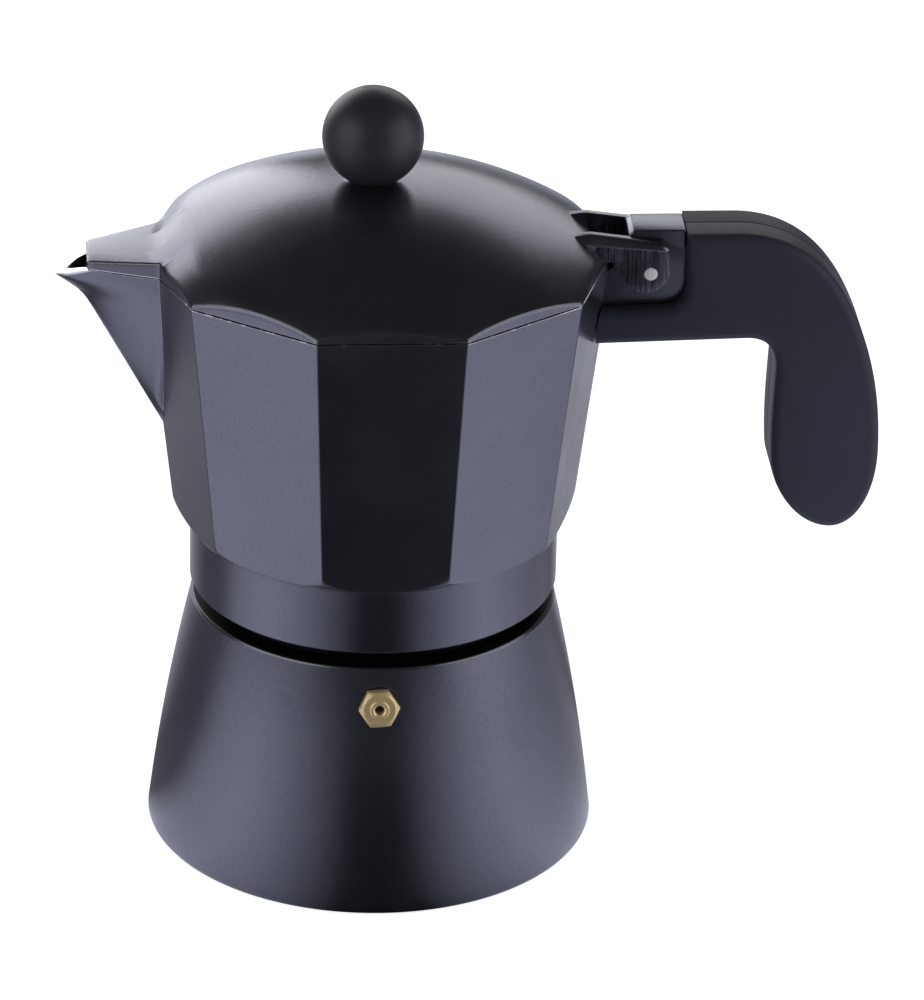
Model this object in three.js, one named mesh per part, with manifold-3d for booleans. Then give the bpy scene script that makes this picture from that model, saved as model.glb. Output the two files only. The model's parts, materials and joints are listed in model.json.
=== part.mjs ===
import * as THREE from "three";
import { ConvexGeometry } from "three/addons/geometries/ConvexGeometry.js";
import { mergeVertices } from "three/addons/utils/BufferGeometryUtils.js";
import Module from "manifold-3d";

const wasm = await Module();
wasm.setup();

// Driving dimensions in mm. +X is the handle side, -X the spout side, +Z up.
const around = 48;
const wallGap = 0.25;

const boiler = { baseR: 46, shoulderR: 37.2, shoulderZ: 51.6, bulge: 0.75, wall: 2.6, floor: 3 };
const neck = { rootR: 32.4, crestR: 33.4, boreR: 29.4, topZ: 67 };
const thread = { pitch: 3, turns: 1.5, baseWidth: 1.5, crestWidth: 0.7, startZ: 57.6 };
const collar = {
  outerR: 37.5, rootR: 34, crestR: 32.85, bottomZ: 55.1, topZ: 69.4,
  shoulderWide: 4.1, shoulderHigh: 6.4,
};
const gasketSize = { innerR: 25.5, outerR: 32.3, lowZ: 68.2, highZ: 71.2 };
const plate = { outerR: 27.8, thick: 0.9, holeR: 0.9 };
const funnelSize = {
  flangeR: 31.8, thick: 1.2, basketR: 28.6, floorZ: 47, stemR: 6.2, stemBoreR: 5.2, stemLowZ: 9,
};
const chamber = { lowR: 41.2, lowZ: 73.4, rimR: 47.4, rimZ: 126.3, wall: 2.5, floorZ: 75.6 };
const column = { lowR: 6.2, highR: 5.2, boreR: 4.1, seatR: 6.6, topZ: 117, baseZ: 79 };
const dome = { x: -1.5, sphereR: 86.4, apexZ: 142, rimZ: 126.55, rimR: 47.4, thick: 2.1, innerR: 43.4 };
const cover = { rootX: -45, rootHalf: 10, tipX: -58.3, tipHalf: 5.5 };
const hinge = { x: 54.1, z: 123.8, pinR: 1.42, boreR: 1.55, sweepR: 6.9 };
const lug = {
  halfWidth: 4.4, leftX: 49.6, topZ: 132.3, tangLowZ: 113.2, tangEndX: 84, webX: 46.6, webTopZ: 124.5,
};
const ear = {
  innerY: 4.75, cheekY: 6.9, ribY: 7.6, ribTopZ: 132.3, ribLowZ: 130.2, lobeX: 53.2, lobeZ: 124.6, lobeR: 4.75,
};
const knob = { r: 10.2, centreZ: 151.2, seatZ: 142.1, boreR: 2.9, insertDepth: 9 };
const grip = { halfWidth: 7.5, round: 1.9, wallX: 61.3, shelfZ: 116.1, topZ: 132.1, underZ: 108.5 };
const handleScrew = { x: 69, shankR: 1.9, headR: 3.5, washerR: 4, seatZ: 111.5, topZ: 122 };
const valve = { x: -0.9, z: 44, tilt: 10.5, acrossFlats: 7.2, hexDepth: 2.2, washer: 0.6 };
const relief = { boreR: 2, shankR: 2.9, shankLength: 6.6, mouthR: 0.95 };

const degrees = Math.PI / 180;

// Turns a three.js geometry into a solid for the booleans.
function solid(geometry) {
  const g = geometry.clone();
  g.deleteAttribute("normal");
  g.deleteAttribute("uv");
  const merged = mergeVertices(g, 1e-4);
  return new wasm.Manifold(
    new wasm.Mesh({
      numProp: 3,
      vertProperties: merged.attributes.position.array,
      triVerts: new Uint32Array(merged.index.array),
    }),
  );
}

function material(colour, roughness, metalness) {
  return new THREE.MeshStandardMaterial({ color: colour, roughness, metalness });
}

function named(name, body, look) {
  const m = body.getMesh();
  const g = new THREE.BufferGeometry();
  g.setAttribute("position", new THREE.BufferAttribute(m.vertProperties, 3));
  g.setIndex(new THREE.BufferAttribute(m.triVerts, 1));
  g.computeVertexNormals();
  const mesh = new THREE.Mesh(g, look);
  mesh.name = name;
  return mesh;
}

// A turned solid about Z from [radius, z] pairs, listed from the bottom up.
function turned(profile, segments = around) {
  const points = profile.map(([r, z]) => new THREE.Vector2(r, z));
  return solid(new THREE.LatheGeometry(points, segments).rotateX(Math.PI / 2));
}

// A rod between two heights about Z.
function rod(r, lowZ, highZ, segments = 32) {
  return turned([[0, lowZ], [r, lowZ], [r, highZ], [0, highZ]], segments);
}

function ring(innerR, outerR, lowZ, highZ, segments = 32) {
  const profile = [[innerR, lowZ], [outerR, lowZ], [outerR, highZ], [innerR, highZ], [innerR, lowZ]];
  return turned(profile, segments);
}

// A ten-sided tapered block with a corner on +X and on -X.
function tenSided(lowR, highR, lowZ, highZ) {
  const g = new THREE.CylinderGeometry(highR, lowR, highZ - lowZ, 10, 1, false, Math.PI / 2);
  return solid(g.rotateX(Math.PI / 2).translate(0, 0, (lowZ + highZ) / 2));
}

function convex(points) {
  return solid(new ConvexGeometry(points.map(([x, y, z]) => new THREE.Vector3(x, y, z))));
}

// Mirrors [x, y, z] points to both sides of the XZ plane, then wraps them.
function convexPair(points) {
  return convex(points.flatMap(([x, y, z]) => [[x, y, z], [x, -y, z]]));
}

// A plate with an XZ outline between two Y values.
function plateXZ(shape, lowY, highY, curveSegments = 10) {
  const options = { depth: highY - lowY, bevelEnabled: false, curveSegments };
  return solid(new THREE.ExtrudeGeometry(shape, options).rotateX(Math.PI / 2).translate(0, highY, 0));
}

function outline(points) {
  return new THREE.Shape(points.map(([x, z]) => new THREE.Vector2(x, z)));
}

// A block given by its low and high corners.
function block(low, high) {
  const size = high.map((v, i) => v - low[i]);
  const g = new THREE.BoxGeometry(size[0], size[1], size[2]);
  return solid(g.translate(low[0] + size[0] / 2, low[1] + size[1] / 2, low[2] + size[2] / 2));
}

function rodAlongY(r, x, z, lowY, highY, segments = 24) {
  const g = new THREE.CylinderGeometry(r, r, highY - lowY, segments);
  return solid(g.translate(x, (lowY + highY) / 2, z));
}

// Corner radius of the chamber's outside at a height.
function chamberR(z) {
  const slope = (chamber.rimR - chamber.lowR) / (chamber.rimZ - chamber.lowZ);
  return chamber.lowR + slope * (z - chamber.lowZ);
}

// The boiler's side: a chord with a slight outward bow.
function boilerSide(steps) {
  const points = [];
  for (let i = 0; i <= steps; i++) {
    const t = i / steps;
    const bow = boiler.bulge * 4 * t * (1 - t);
    const r = boiler.baseR + (boiler.shoulderR - boiler.baseR) * t + bow;
    points.push([r, 1.2 + (boiler.shoulderZ - 1.2) * t]);
  }
  return points;
}

class Helix extends THREE.Curve {
  constructor(r, pitch, turns, startZ) {
    super();
    Object.assign(this, { r, pitch, turns, startZ });
  }
  getPoint(t, target = new THREE.Vector3()) {
    const a = t * this.turns * 2 * Math.PI;
    return target.set(
      this.r * Math.cos(a), this.r * Math.sin(a), this.startZ + this.pitch * this.turns * t,
    );
  }
}

// One screw ridge from the root radius out to the crest radius; the root end is sunk into its wall.
function threadRidge(rootR, crestR, startZ) {
  const out = Math.sign(crestR - rootR);
  const sunk = rootR - out * 0.4;
  const steps = Math.round(thread.turns * 24);
  const section = [
    [sunk, -thread.baseWidth / 2],
    [rootR, -thread.baseWidth / 2],
    [crestR, -thread.crestWidth / 2],
    [crestR, thread.crestWidth / 2],
    [rootR, thread.baseWidth / 2],
    [sunk, thread.baseWidth / 2],
  ];
  const vertices = [];
  const faces = [];
  const n = section.length;
  for (let i = 0; i <= steps; i++) {
    const a = (i / steps) * thread.turns * 2 * Math.PI;
    const z = startZ + (thread.pitch * a) / (2 * Math.PI);
    for (const [r, dz] of section) vertices.push(r * Math.cos(a), r * Math.sin(a), z + dz);
  }
  for (let i = 0; i < steps; i++) {
    for (let j = 0; j < n; j++) {
      const k = (j + 1) % n;
      const [a, b, c, d] = [i * n + j, i * n + k, (i + 1) * n + k, (i + 1) * n + j];
      faces.push(a, c, b, a, d, c);
    }
  }
  for (let j = 1; j < n - 1; j++) {
    faces.push(0, j, j + 1);
    faces.push(steps * n, steps * n + j + 1, steps * n + j);
  }
  const g = new THREE.BufferGeometry();
  g.setAttribute("position", new THREE.Float32BufferAttribute(vertices, 3));
  g.setIndex(out > 0 ? faces : faces.map((v, i, all) => all[i - (i % 3) + (2 - (i % 3))]));
  return solid(g);
}

// The relief valve sits square to the sloping wall: its local -Y points out of the boiler.
function valveGroup() {
  const group = new THREE.Group();
  group.position.set(valve.x, -(boilerRadiusAt(valve.z) - 0.25), valve.z);
  group.rotation.x = -valve.tilt * degrees;
  return group;
}

function boilerRadiusAt(z) {
  const t = (z - 1.2) / (boiler.shoulderZ - 1.2);
  return boiler.baseR + (boiler.shoulderR - boiler.baseR) * t + boiler.bulge * 4 * t * (1 - t);
}

// Moves a solid from the valve's frame, built about Z pointing out, into the pot's frame.
function fromValve(body) {
  const group = valveGroup();
  group.updateMatrix();
  const turn = new THREE.Matrix4().makeRotationX(Math.PI / 2);
  return body.transform(group.matrix.clone().multiply(turn).elements);
}

function makeBoiler() {
  const outside = [
    [0, 0], [boiler.baseR - 1.2, 0],
    ...boilerSide(7),
    [boiler.shoulderR - 0.8, boiler.shoulderZ + 0.5], [neck.rootR + 0.6, boiler.shoulderZ + 0.9],
    [neck.rootR, boiler.shoulderZ + 1.6], [neck.rootR, neck.topZ - 0.6], [neck.rootR - 0.6, neck.topZ],
    [0, neck.topZ],
  ];
  const inside = [
    [0, boiler.floor], [boiler.baseR - 7, boiler.floor], [boiler.baseR - 3.4, boiler.floor + 4],
    [boilerRadiusAt(28) - boiler.wall, 28], [boilerRadiusAt(46) - boiler.wall, 46],
    [neck.boreR, boiler.shoulderZ + 1], [neck.boreR, neck.topZ + 1], [0, neck.topZ + 1],
  ];
  const body = turned(outside).add(threadRidge(neck.rootR, neck.crestR, thread.startZ));
  const spotFace = fromValve(rod(4.3, 0, 3, 24));
  const hole = fromValve(rod(relief.shankR + 0.1, -10, 3, 24));
  const hollowed = body.subtract(turned(inside)).subtract(spotFace).subtract(hole);
  return named("boiler", hollowed, material(0x222328, 0.35, 0.8));
}

function makeValve() {
  const group = valveGroup();
  const brass = material(0xc9a24a, 0.3, 1);
  const steel = material(0xc8c8c8, 0.3, 1);
  const hexR = valve.acrossFlats / Math.sqrt(3);
  const front = valve.washer + valve.hexDepth;
  const hexBlock = solid(
    new THREE.CylinderGeometry(hexR, hexR, valve.hexDepth, 6, 1, false, Math.PI / 2)
      .rotateX(Math.PI / 2).translate(0, 0, valve.washer + valve.hexDepth / 2),
  );
  const chamfer = turned([[0, 0], [hexR, 0], [hexR, front - 0.45], [hexR - 0.75, front], [0, front]], 24);
  const bodyOuter = hexBlock.intersect(chamfer)
    .add(rod(1.9, front - 0.2, front + 0.35, 24))
    .add(rod(relief.shankR, -relief.shankLength, valve.washer + 0.2, 24));
  const body = bodyOuter
    .subtract(rod(relief.boreR, -relief.shankLength - 1, 1.2, 24))
    .subtract(rod(relief.mouthR, 1, front + 1, 16));
  const washer = ring(relief.shankR + 0.1, 3.9, 0.02, valve.washer - 0.02, 24);
  const plunger = turned(
    [[0, -4.6], [1.2, -4.6], [1.7, -4.2], [1.7, -3.7], [0.6, -3.7], [0.6, -1], [0.35, -0.7], [0, -0.7]],
    16,
  );
  const seat = ring(0.9, relief.boreR - 0.05, -relief.shankLength + 0.1, -4.7, 20);
  const coils = 5;
  const springLow = -3.45;
  const springHigh = 0.95;
  const path = new Helix(1.25, (springHigh - springLow) / coils, coils, springLow);
  const wire = new THREE.Shape();
  wire.absarc(0, 0, 0.2, 0, 2 * Math.PI);
  const spring = solid(
    new THREE.ExtrudeGeometry(wire, { steps: 45, extrudePath: path, curveSegments: 3, bevelEnabled: false }),
  );
  const turn = new THREE.Matrix4().makeRotationX(Math.PI / 2).elements;
  group.add(
    named("valve_body", body.transform(turn), brass),
    named("valve_washer", washer.transform(turn), material(0x7a3b2a, 0.8, 0)),
    named("valve_plunger", plunger.transform(turn), steel.clone()),
    named("valve_spring", spring.transform(turn), steel.clone()),
    named("valve_seat", seat.transform(turn), brass.clone()),
  );
  return group;
}

function makeFunnel() {
  const f = funnelSize;
  const lowFlange = neck.topZ;
  const topFlange = lowFlange + f.thick;
  const outer = turned([
    [0, f.stemLowZ], [f.stemR, f.stemLowZ], [f.stemR, f.floorZ - 4], [f.stemR + 4, f.floorZ - 1],
    [f.basketR - 1.5, f.floorZ], [f.basketR, f.floorZ + 1.5], [f.basketR, lowFlange],
    [f.flangeR, lowFlange], [f.flangeR, topFlange], [0, topFlange],
  ], 48);
  const inner = turned([
    [0, f.stemLowZ - 1], [f.stemBoreR, f.stemLowZ - 1], [f.stemBoreR, f.floorZ - 3.2],
    [f.stemR + 3.4, f.floorZ + 0.2], [f.basketR - 2, f.floorZ + 1.2], [f.basketR - 1, f.floorZ + 2.2],
    [f.basketR - 1, topFlange + 1], [0, topFlange + 1],
  ], 48);
  const shell = named("funnel", outer.subtract(inner), material(0xb9bcc0, 0.35, 1));
  const screenZ = f.floorZ + 2.3;
  const screen = perforated(f.basketR - 1.2, screenZ, screenZ + 0.8, [[5, 6], [11, 10], [17, 14], [22.5, 18]], 0.8);
  return [shell, named("funnel_plate", screen, material(0xb4b7bc, 0.4, 1))];
}

// A flat disc with rings of small holes; each ring is [radius, count].
function perforated(outerR, lowZ, highZ, rings, holeR) {
  let body = rod(outerR, lowZ, highZ, 40);
  for (const [r, count] of rings) {
    for (let i = 0; i < count; i++) {
      const a = ((i + 0.5) / count) * 2 * Math.PI;
      body = body.subtract(rod(holeR, lowZ - 1, highZ + 1, 5).translate([r * Math.cos(a), r * Math.sin(a), 0]));
    }
  }
  return body;
}

function makeSeals() {
  const gasket = ring(gasketSize.innerR, gasketSize.outerR, gasketSize.lowZ, gasketSize.highZ, 48);
  const lowZ = gasketSize.highZ;
  const filter = perforated(plate.outerR, lowZ, lowZ + plate.thick, [[5, 6], [10, 10], [15, 14]], plate.holeR);
  return [
    named("gasket", gasket, material(0xe4e0d6, 0.7, 0)),
    named("filter_plate", filter, material(0xb4b7bc, 0.4, 1)),
  ];
}

// The handle's side outline, drawn from the end of the arm round the grip and back to the hinge notch.
function gripOutline() {
  const g = grip;
  const s = new THREE.Shape();
  s.moveTo(43, g.underZ - 0.2);
  s.lineTo(74, g.underZ + 0.7);
  s.bezierCurveTo(78.4, g.underZ + 0.8, 80.4, 106.6, 80.2, 101.5);
  s.bezierCurveTo(79.9, 94, 79.7, 88, 80.2, 81.5);
  s.bezierCurveTo(80.8, 75.4, 86, 66.9, 93, 66.9);
  s.bezierCurveTo(98.6, 67.1, 102.1, 74.6, 102.1, 83.5);
  s.bezierCurveTo(102.1, 98.5, 98.4, 109.9, 93.8, 118.2);
  s.bezierCurveTo(88.4, 127.6, 80.8, g.topZ, 71.5, g.topZ);
  s.lineTo(g.wallX, g.topZ);
  s.lineTo(g.wallX, g.shelfZ + 5);
  s.quadraticCurveTo(g.wallX, g.shelfZ + 0.3, g.wallX - 5, g.shelfZ + 0.2);
  s.lineTo(43, g.shelfZ - 0.2);
  s.closePath();
  return s;
}

// The tang that the handle slides over, with an allowance on every side.
function tangOutline(allow) {
  const l = lug;
  return outline([
    [40, l.tangLowZ - allow], [l.tangEndX - 6 + allow, l.tangLowZ + 0.5 - allow],
    [l.tangEndX + allow, l.tangLowZ + 5 - allow], [l.tangEndX + allow, 122 + allow],
    [l.tangEndX - 6 + allow, 127.6 + allow], [grip.wallX - 0.4 - allow, 129 + allow],
    [grip.wallX - 0.4 - allow, 118 + allow], [40, 118 + allow],
  ]);
}

function makeHandle() {
  const g = grip;
  const options = {
    depth: 2 * (g.halfWidth - g.round), bevelEnabled: true, bevelThickness: g.round,
    bevelSize: g.round, bevelOffset: -g.round, bevelSegments: 3, curveSegments: 7,
  };
  const raw = new THREE.ExtrudeGeometry(gripOutline(), options);
  const outer = solid(raw.rotateX(Math.PI / 2).translate(0, g.halfWidth - g.round, 0));
  const socket = plateXZ(tangOutline(wallGap), -lug.halfWidth - wallGap, lug.halfWidth + wallGap);
  const lugHalf = lug.halfWidth + wallGap;
  const lugWay = block([40, -lugHalf, lug.tangLowZ - wallGap], [g.wallX + 0.1, lugHalf, 140]);
  const bodyWay = tenSided(chamberR(100) + 0.35, chamberR(130) + 0.35, 100, 130);
  const screwWay = rod(handleScrew.shankR + 0.2, 100, 116, 20).translate([handleScrew.x, 0, 0]);
  const headWay = rod(handleScrew.washerR + 0.2, 100, handleScrew.seatZ, 24).translate([handleScrew.x, 0, 0]);
  const body = outer.subtract(socket).subtract(lugWay).subtract(bodyWay).subtract(screwWay).subtract(headWay);
  const washer = ring(handleScrew.shankR + 0.15, handleScrew.washerR, handleScrew.seatZ - 0.8, handleScrew.seatZ, 24);
  const headTop = handleScrew.seatZ - 0.8;
  const screw = turned([
    [0, headTop - 1.3], [handleScrew.headR - 0.7, headTop - 1.3], [handleScrew.headR, headTop - 0.6],
    [handleScrew.headR, headTop], [handleScrew.shankR, headTop], [handleScrew.shankR, handleScrew.topZ - 1],
    [0, handleScrew.topZ],
  ], 20);
  const slotOne = block([-2.2, -0.4, headTop - 2], [2.2, 0.4, headTop - 0.6]);
  const slotTwo = block([-0.4, -2.2, headTop - 2], [0.4, 2.2, headTop - 0.6]);
  const place = [handleScrew.x, 0, 0];
  return [
    named("handle", body, material(0x2c2c33, 0.6, 0)),
    named("handle_washer", washer.translate(place), material(0xb0b0b4, 0.35, 1)),
    named("handle_screw", screw.subtract(slotOne).subtract(slotTwo).translate(place), material(0xb0b0b4, 0.35, 1)),
  ];
}

// Spout outside: a keeled wedge up to the lip, then two pieces that carry the keel out to the pouring edge.
function spoutSolid() {
  const rimZ = chamber.rimZ;
  const wedge = convexPair([
    [-42, 0.5, 88.6], [-43.4, 0.5, 90], [-40, 8.9, rimZ], [-45, 8.9, rimZ],
    [-58.5, 5.4, rimZ], [-57.6, 0.7, 115.2], [-40, 3, 96],
  ]);
  const throat = convexPair([
    [-52, 6.8, rimZ], [-58.5, 5.4, rimZ], [-60.4, 4.4, rimZ], [-57.6, 0.7, 115.2], [-60, 0.9, 119], [-52, 2, 116],
  ]);
  const lip = convexPair([
    [-58, 5.4, rimZ], [-61.5, 4, rimZ], [-65.1, 1, rimZ], [-65.1, 1, 122.2],
    [-63.6, 1.2, 121], [-60, 0.9, 119], [-58, 3, 121],
  ]);
  const slope = outline([[-70, 121.3], [-65.1, 122.6], [-58.8, 125.9], [-57.6, 128], [-70, 128]]);
  return wedge.add(throat).add(lip).subtract(plateXZ(slope, -12, 12));
}

// The pouring channel, open upwards from the chamber to the lip.
function spoutChannel() {
  const top = chamber.rimZ + 3;
  const inner = convexPair([
    [-36, 7.1, top], [-45, 7.1, top], [-58.6, 3.9, top], [-36, 7.1, 124], [-45, 6.9, 124],
    [-58.6, 3.7, 124.2], [-36, 0.4, 97], [-42.5, 0.4, 97], [-57, 0.4, 119],
  ]);
  const mouth = convexPair([
    [-56, 4.2, top], [-60, 3, top], [-63.6, 0.6, top], [-63.6, 0.5, 122.9], [-60.2, 2.9, 123.8],
    [-56, 4, 123.8], [-62.6, 0.3, 122.5], [-57, 0.4, 119],
  ]);
  return inner.add(mouth);
}

function makeCollector() {
  const c = chamber;
  const shell = tenSided(chamberR(collar.topZ - 1), c.rimR, collar.topZ - 1, c.rimZ);
  // The turned lower edge: it rounds the ten-sided block down to the collar.
  const edge = [[0, collar.topZ]];
  for (let i = 0; i <= 3; i++) {
    const a = (i / 3) * 60 * degrees;
    edge.push([
      collar.outerR + 0.2 + collar.shoulderWide * Math.sin(a),
      collar.topZ + collar.shoulderHigh * (1 - Math.cos(a)),
    ]);
  }
  edge.push([60, 90], [60, c.rimZ + 1], [0, c.rimZ + 1]);
  const outer = shell.intersect(turned(edge, 60))
    .add(rod(collar.outerR, collar.bottomZ, collar.topZ + 0.5, 60));
  const arm = plateXZ(tangOutline(0), -lug.halfWidth, lug.halfWidth);
  const post = plateXZ(
    outline([
      [lug.leftX, 114], [grip.wallX - 0.4, 114], [grip.wallX - 0.4, lug.topZ], [lug.leftX + 1, lug.topZ],
      [lug.leftX, lug.topZ - 1],
    ]),
    -lug.halfWidth, lug.halfWidth,
  );
  const web = block([44, -lug.halfWidth, 115], [lug.leftX + 1, lug.halfWidth, lug.webTopZ])
    .subtract(block([40, -10, lug.webTopZ - 1], [lug.webX, 10, lug.webTopZ + 1]));
  const boss = turned([
    [0, c.floorZ - 2], [35, c.floorZ - 2], [35, c.floorZ], [14, 79.6], [9.4, 82.5], [8.8, 86.5], [8.2, 87.2],
    [0, 87.2],
  ], 48);
  const innerLow = chamberR(c.floorZ) - c.wall - 0.6;
  const cavity = tenSided(innerLow, c.rimR - c.wall - 0.1 + 0.35, c.floorZ, c.rimZ + 3).subtract(boss);
  const underside = turned([
    [0, collar.bottomZ - 1], [collar.rootR + 0.5, collar.bottomZ - 1], [collar.rootR, collar.bottomZ + 0.6],
    [collar.rootR, 67.4], [33, 67.4], [33, gasketSize.highZ], [28.3, gasketSize.highZ], [28.3, 72.4],
    [22, 72.4], [column.seatR + 2, 76.5], [column.seatR - 1.2, 78.8], [0, 78.8],
  ], around);
  const columnWay = rod(column.lowR + 0.1, 78, 90, 32);
  const ridge = threadRidge(collar.rootR, collar.crestR, thread.startZ + thread.pitch / 2);
  const pinWay = rodAlongY(hinge.boreR, hinge.x, hinge.z, -10, 10);
  const screwWay = rod(handleScrew.shankR + 0.12, 110, handleScrew.topZ + 0.5, 20).translate([handleScrew.x, 0, 0]);
  const body = outer.add(arm).add(post).add(web).add(spoutSolid())
    .subtract(cavity).subtract(spoutChannel())
    .subtract(underside).subtract(columnWay).subtract(pinWay).subtract(screwWay).add(ridge);
  const pin = rodAlongY(hinge.pinR, hinge.x, hinge.z, -ear.cheekY - 0.1, ear.cheekY + 0.1);
  return [
    named("collector", body, material(0x26272c, 0.35, 0.8)),
    named("hinge_pin", pin, material(0xd8d8dc, 0.25, 1)),
  ];
}

function makeColumn() {
  const outer = turned([
    [0, column.baseZ], [column.lowR, column.baseZ], [column.highR, column.topZ - 3],
    [column.highR - 1.2, column.topZ - 0.8], [column.highR - 3, column.topZ], [0, column.topZ],
  ], 32);
  const bore = turned([
    [0, column.baseZ - 1], [column.boreR, column.baseZ - 1], [column.boreR - 0.4, column.topZ - 3],
    [0, column.topZ - 1.2],
  ], 32);
  const slot = block([-1.6, -10, column.topZ - 8], [1.6, 10, column.topZ - 3.5]);
  return named("column", outer.subtract(bore).subtract(slot), material(0xa9abb0, 0.4, 1));
}

// The rear ear pair that carries the lid on the pin: a machined cheek under a thick rounded rib.
function lidEar(side) {
  const cheek = new THREE.Shape();
  const r = ear.lobeR;
  cheek.moveTo(42.5, 130.4);
  cheek.lineTo(42.5, dome.rimZ);
  cheek.lineTo(46.2, dome.rimZ);
  cheek.lineTo(46.4, 125.6);
  cheek.lineTo(47.8, 125.4);
  cheek.absarc(ear.lobeX, ear.lobeZ, r, 192 * degrees, 360 * degrees, false);
  cheek.lineTo(ear.lobeX + r, 128.4);
  cheek.closePath();
  const rib = new THREE.Shape();
  rib.moveTo(38, ear.ribTopZ - 0.9);
  rib.lineTo(41, ear.ribLowZ);
  rib.lineTo(57.4, ear.ribLowZ - 1.4);
  rib.absarc(hinge.x, hinge.z, hinge.sweepR, 58 * degrees, 86 * degrees, false);
  rib.lineTo(42.5, ear.ribTopZ);
  rib.closePath();
  const lowY = side > 0 ? ear.innerY : -ear.cheekY;
  const ribLow = side > 0 ? ear.innerY : -ear.ribY;
  const ribHigh = side > 0 ? ear.ribY : -ear.innerY;
  const highY = side > 0 ? ear.cheekY : -ear.innerY;
  return plateXZ(cheek, lowY, highY, 8).add(plateXZ(rib, ribLow, ribHigh, 6));
}

// The raised cover over the spout, wider and higher where it grows out of the dome.
function spoutCover(inset) {
  const low = dome.rimZ - inset;
  const wide = cover.rootHalf - inset;
  const narrow = cover.tipHalf - inset;
  return convexPair([
    [-38, wide, low], [cover.rootX, wide, low], [cover.tipX + inset, narrow, low],
    [cover.tipX + inset, narrow - 0.4, low + 0.5], [cover.tipX + inset + 0.4, narrow - 0.4, low + 0.7],
    [cover.rootX, wide - 0.3, low + 2.1], [-38, wide, low + 2.6],
  ]);
}

function makeLid() {
  const d = dome;
  const centreZ = d.apexZ - d.sphereR;
  const arc = (radius, maxR, steps) => {
    const points = [];
    for (let i = 0; i <= steps; i++) {
      const a = Math.asin(maxR / radius) * (1 - i / steps);
      points.push([radius * Math.sin(a), centreZ + radius * Math.cos(a)]);
    }
    points[steps][0] = 0;
    return points;
  };
  const capR = 49.2;
  const cap = turned([[0, d.rimZ], [capR, d.rimZ], ...arc(d.sphereR, capR, 8)], 60).translate([d.x, 0, 0]);
  const innerCap = turned([[0, d.rimZ - 4], [46, d.rimZ - 4], ...arc(d.sphereR - d.thick, 46, 6)], 40)
    .translate([d.x, 0, 0]);
  const hollow = innerCap.intersect(rod(d.innerR, d.rimZ - 5, 145, 40));
  const backCut = block([42.3, -ear.innerY, 120], [56, ear.innerY, 140]);
  const ears = lidEar(1).add(lidEar(-1));
  const pad = rod(4.6, 139.2, knob.seatZ, 24).translate([dome.x, 0, 0]);
  const screwWay = rod(2.2, 130, 150, 20).translate([dome.x, 0, 0]);
  const pinWay = rodAlongY(hinge.pinR + 0.1, hinge.x, hinge.z, -10, 10);
  const rim = cap.intersect(tenSided(d.rimR - 0.01, d.rimR + 0.4, d.rimZ, d.rimZ + 20));
  const channel = spoutCover(1.5).subtract(block([-40, -10, 120], [-30, 10, 140]));
  const body = rim.add(spoutCover(0)).subtract(hollow).subtract(channel).subtract(backCut)
    .add(ears).add(pad).subtract(screwWay).subtract(pinWay);
  return named("lid", body, material(0x2a2b30, 0.4, 0.8));
}

function makeKnob() {
  const k = knob;
  const start = Math.acos((k.centreZ - k.seatZ) / k.r);
  const ball = [[0, k.seatZ]];
  for (let i = 0; i <= 11; i++) {
    const a = start + (i / 11) * (Math.PI - start);
    ball.push([k.r * Math.sin(a), k.centreZ - k.r * Math.cos(a)]);
  }
  ball[ball.length - 1][0] = 0;
  const body = turned(ball, 32).subtract(rod(k.boreR + 0.05, k.seatZ - 1, k.seatZ + k.insertDepth, 24));
  const insert = ring(2.05, k.boreR, k.seatZ + 0.3, k.seatZ + k.insertDepth - 0.2, 24);
  const underZ = 139.2;
  const washer = ring(2.15, 4.4, underZ - 0.8, underZ, 24);
  const headTop = underZ - 0.8;
  const screw = turned([
    [0, headTop - 2], [2.6, headTop - 2], [3.5, headTop - 1.1], [3.5, headTop], [1.9, headTop],
    [1.9, k.seatZ + 7], [0, k.seatZ + 7.6],
  ], 20);
  const cross = block([-2, -0.4, headTop - 3], [2, 0.4, headTop - 1.1])
    .add(block([-0.4, -2, headTop - 3], [0.4, 2, headTop - 1.1]));
  const place = [dome.x, 0, 0];
  return [
    named("knob", body.translate(place), material(0x26262c, 0.55, 0)),
    named("knob_insert", insert.translate(place), material(0xc9a24a, 0.35, 1)),
    named("knob_washer", washer.translate(place), material(0xb0b0b4, 0.35, 1)),
    named("knob_screw", screw.subtract(cross).translate(place), material(0xb0b0b4, 0.35, 1)),
  ];
}

const pot = new THREE.Group();
pot.name = "moka_pot";
pot.add(makeBoiler(), makeValve(), ...makeFunnel(), ...makeSeals());
pot.add(...makeCollector(), makeColumn(), ...makeHandle(), makeLid(), ...makeKnob());

export default pot;
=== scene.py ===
import json
import math

import bmesh
import bpy
import numpy as np
from mathutils import Matrix, Vector


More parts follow.
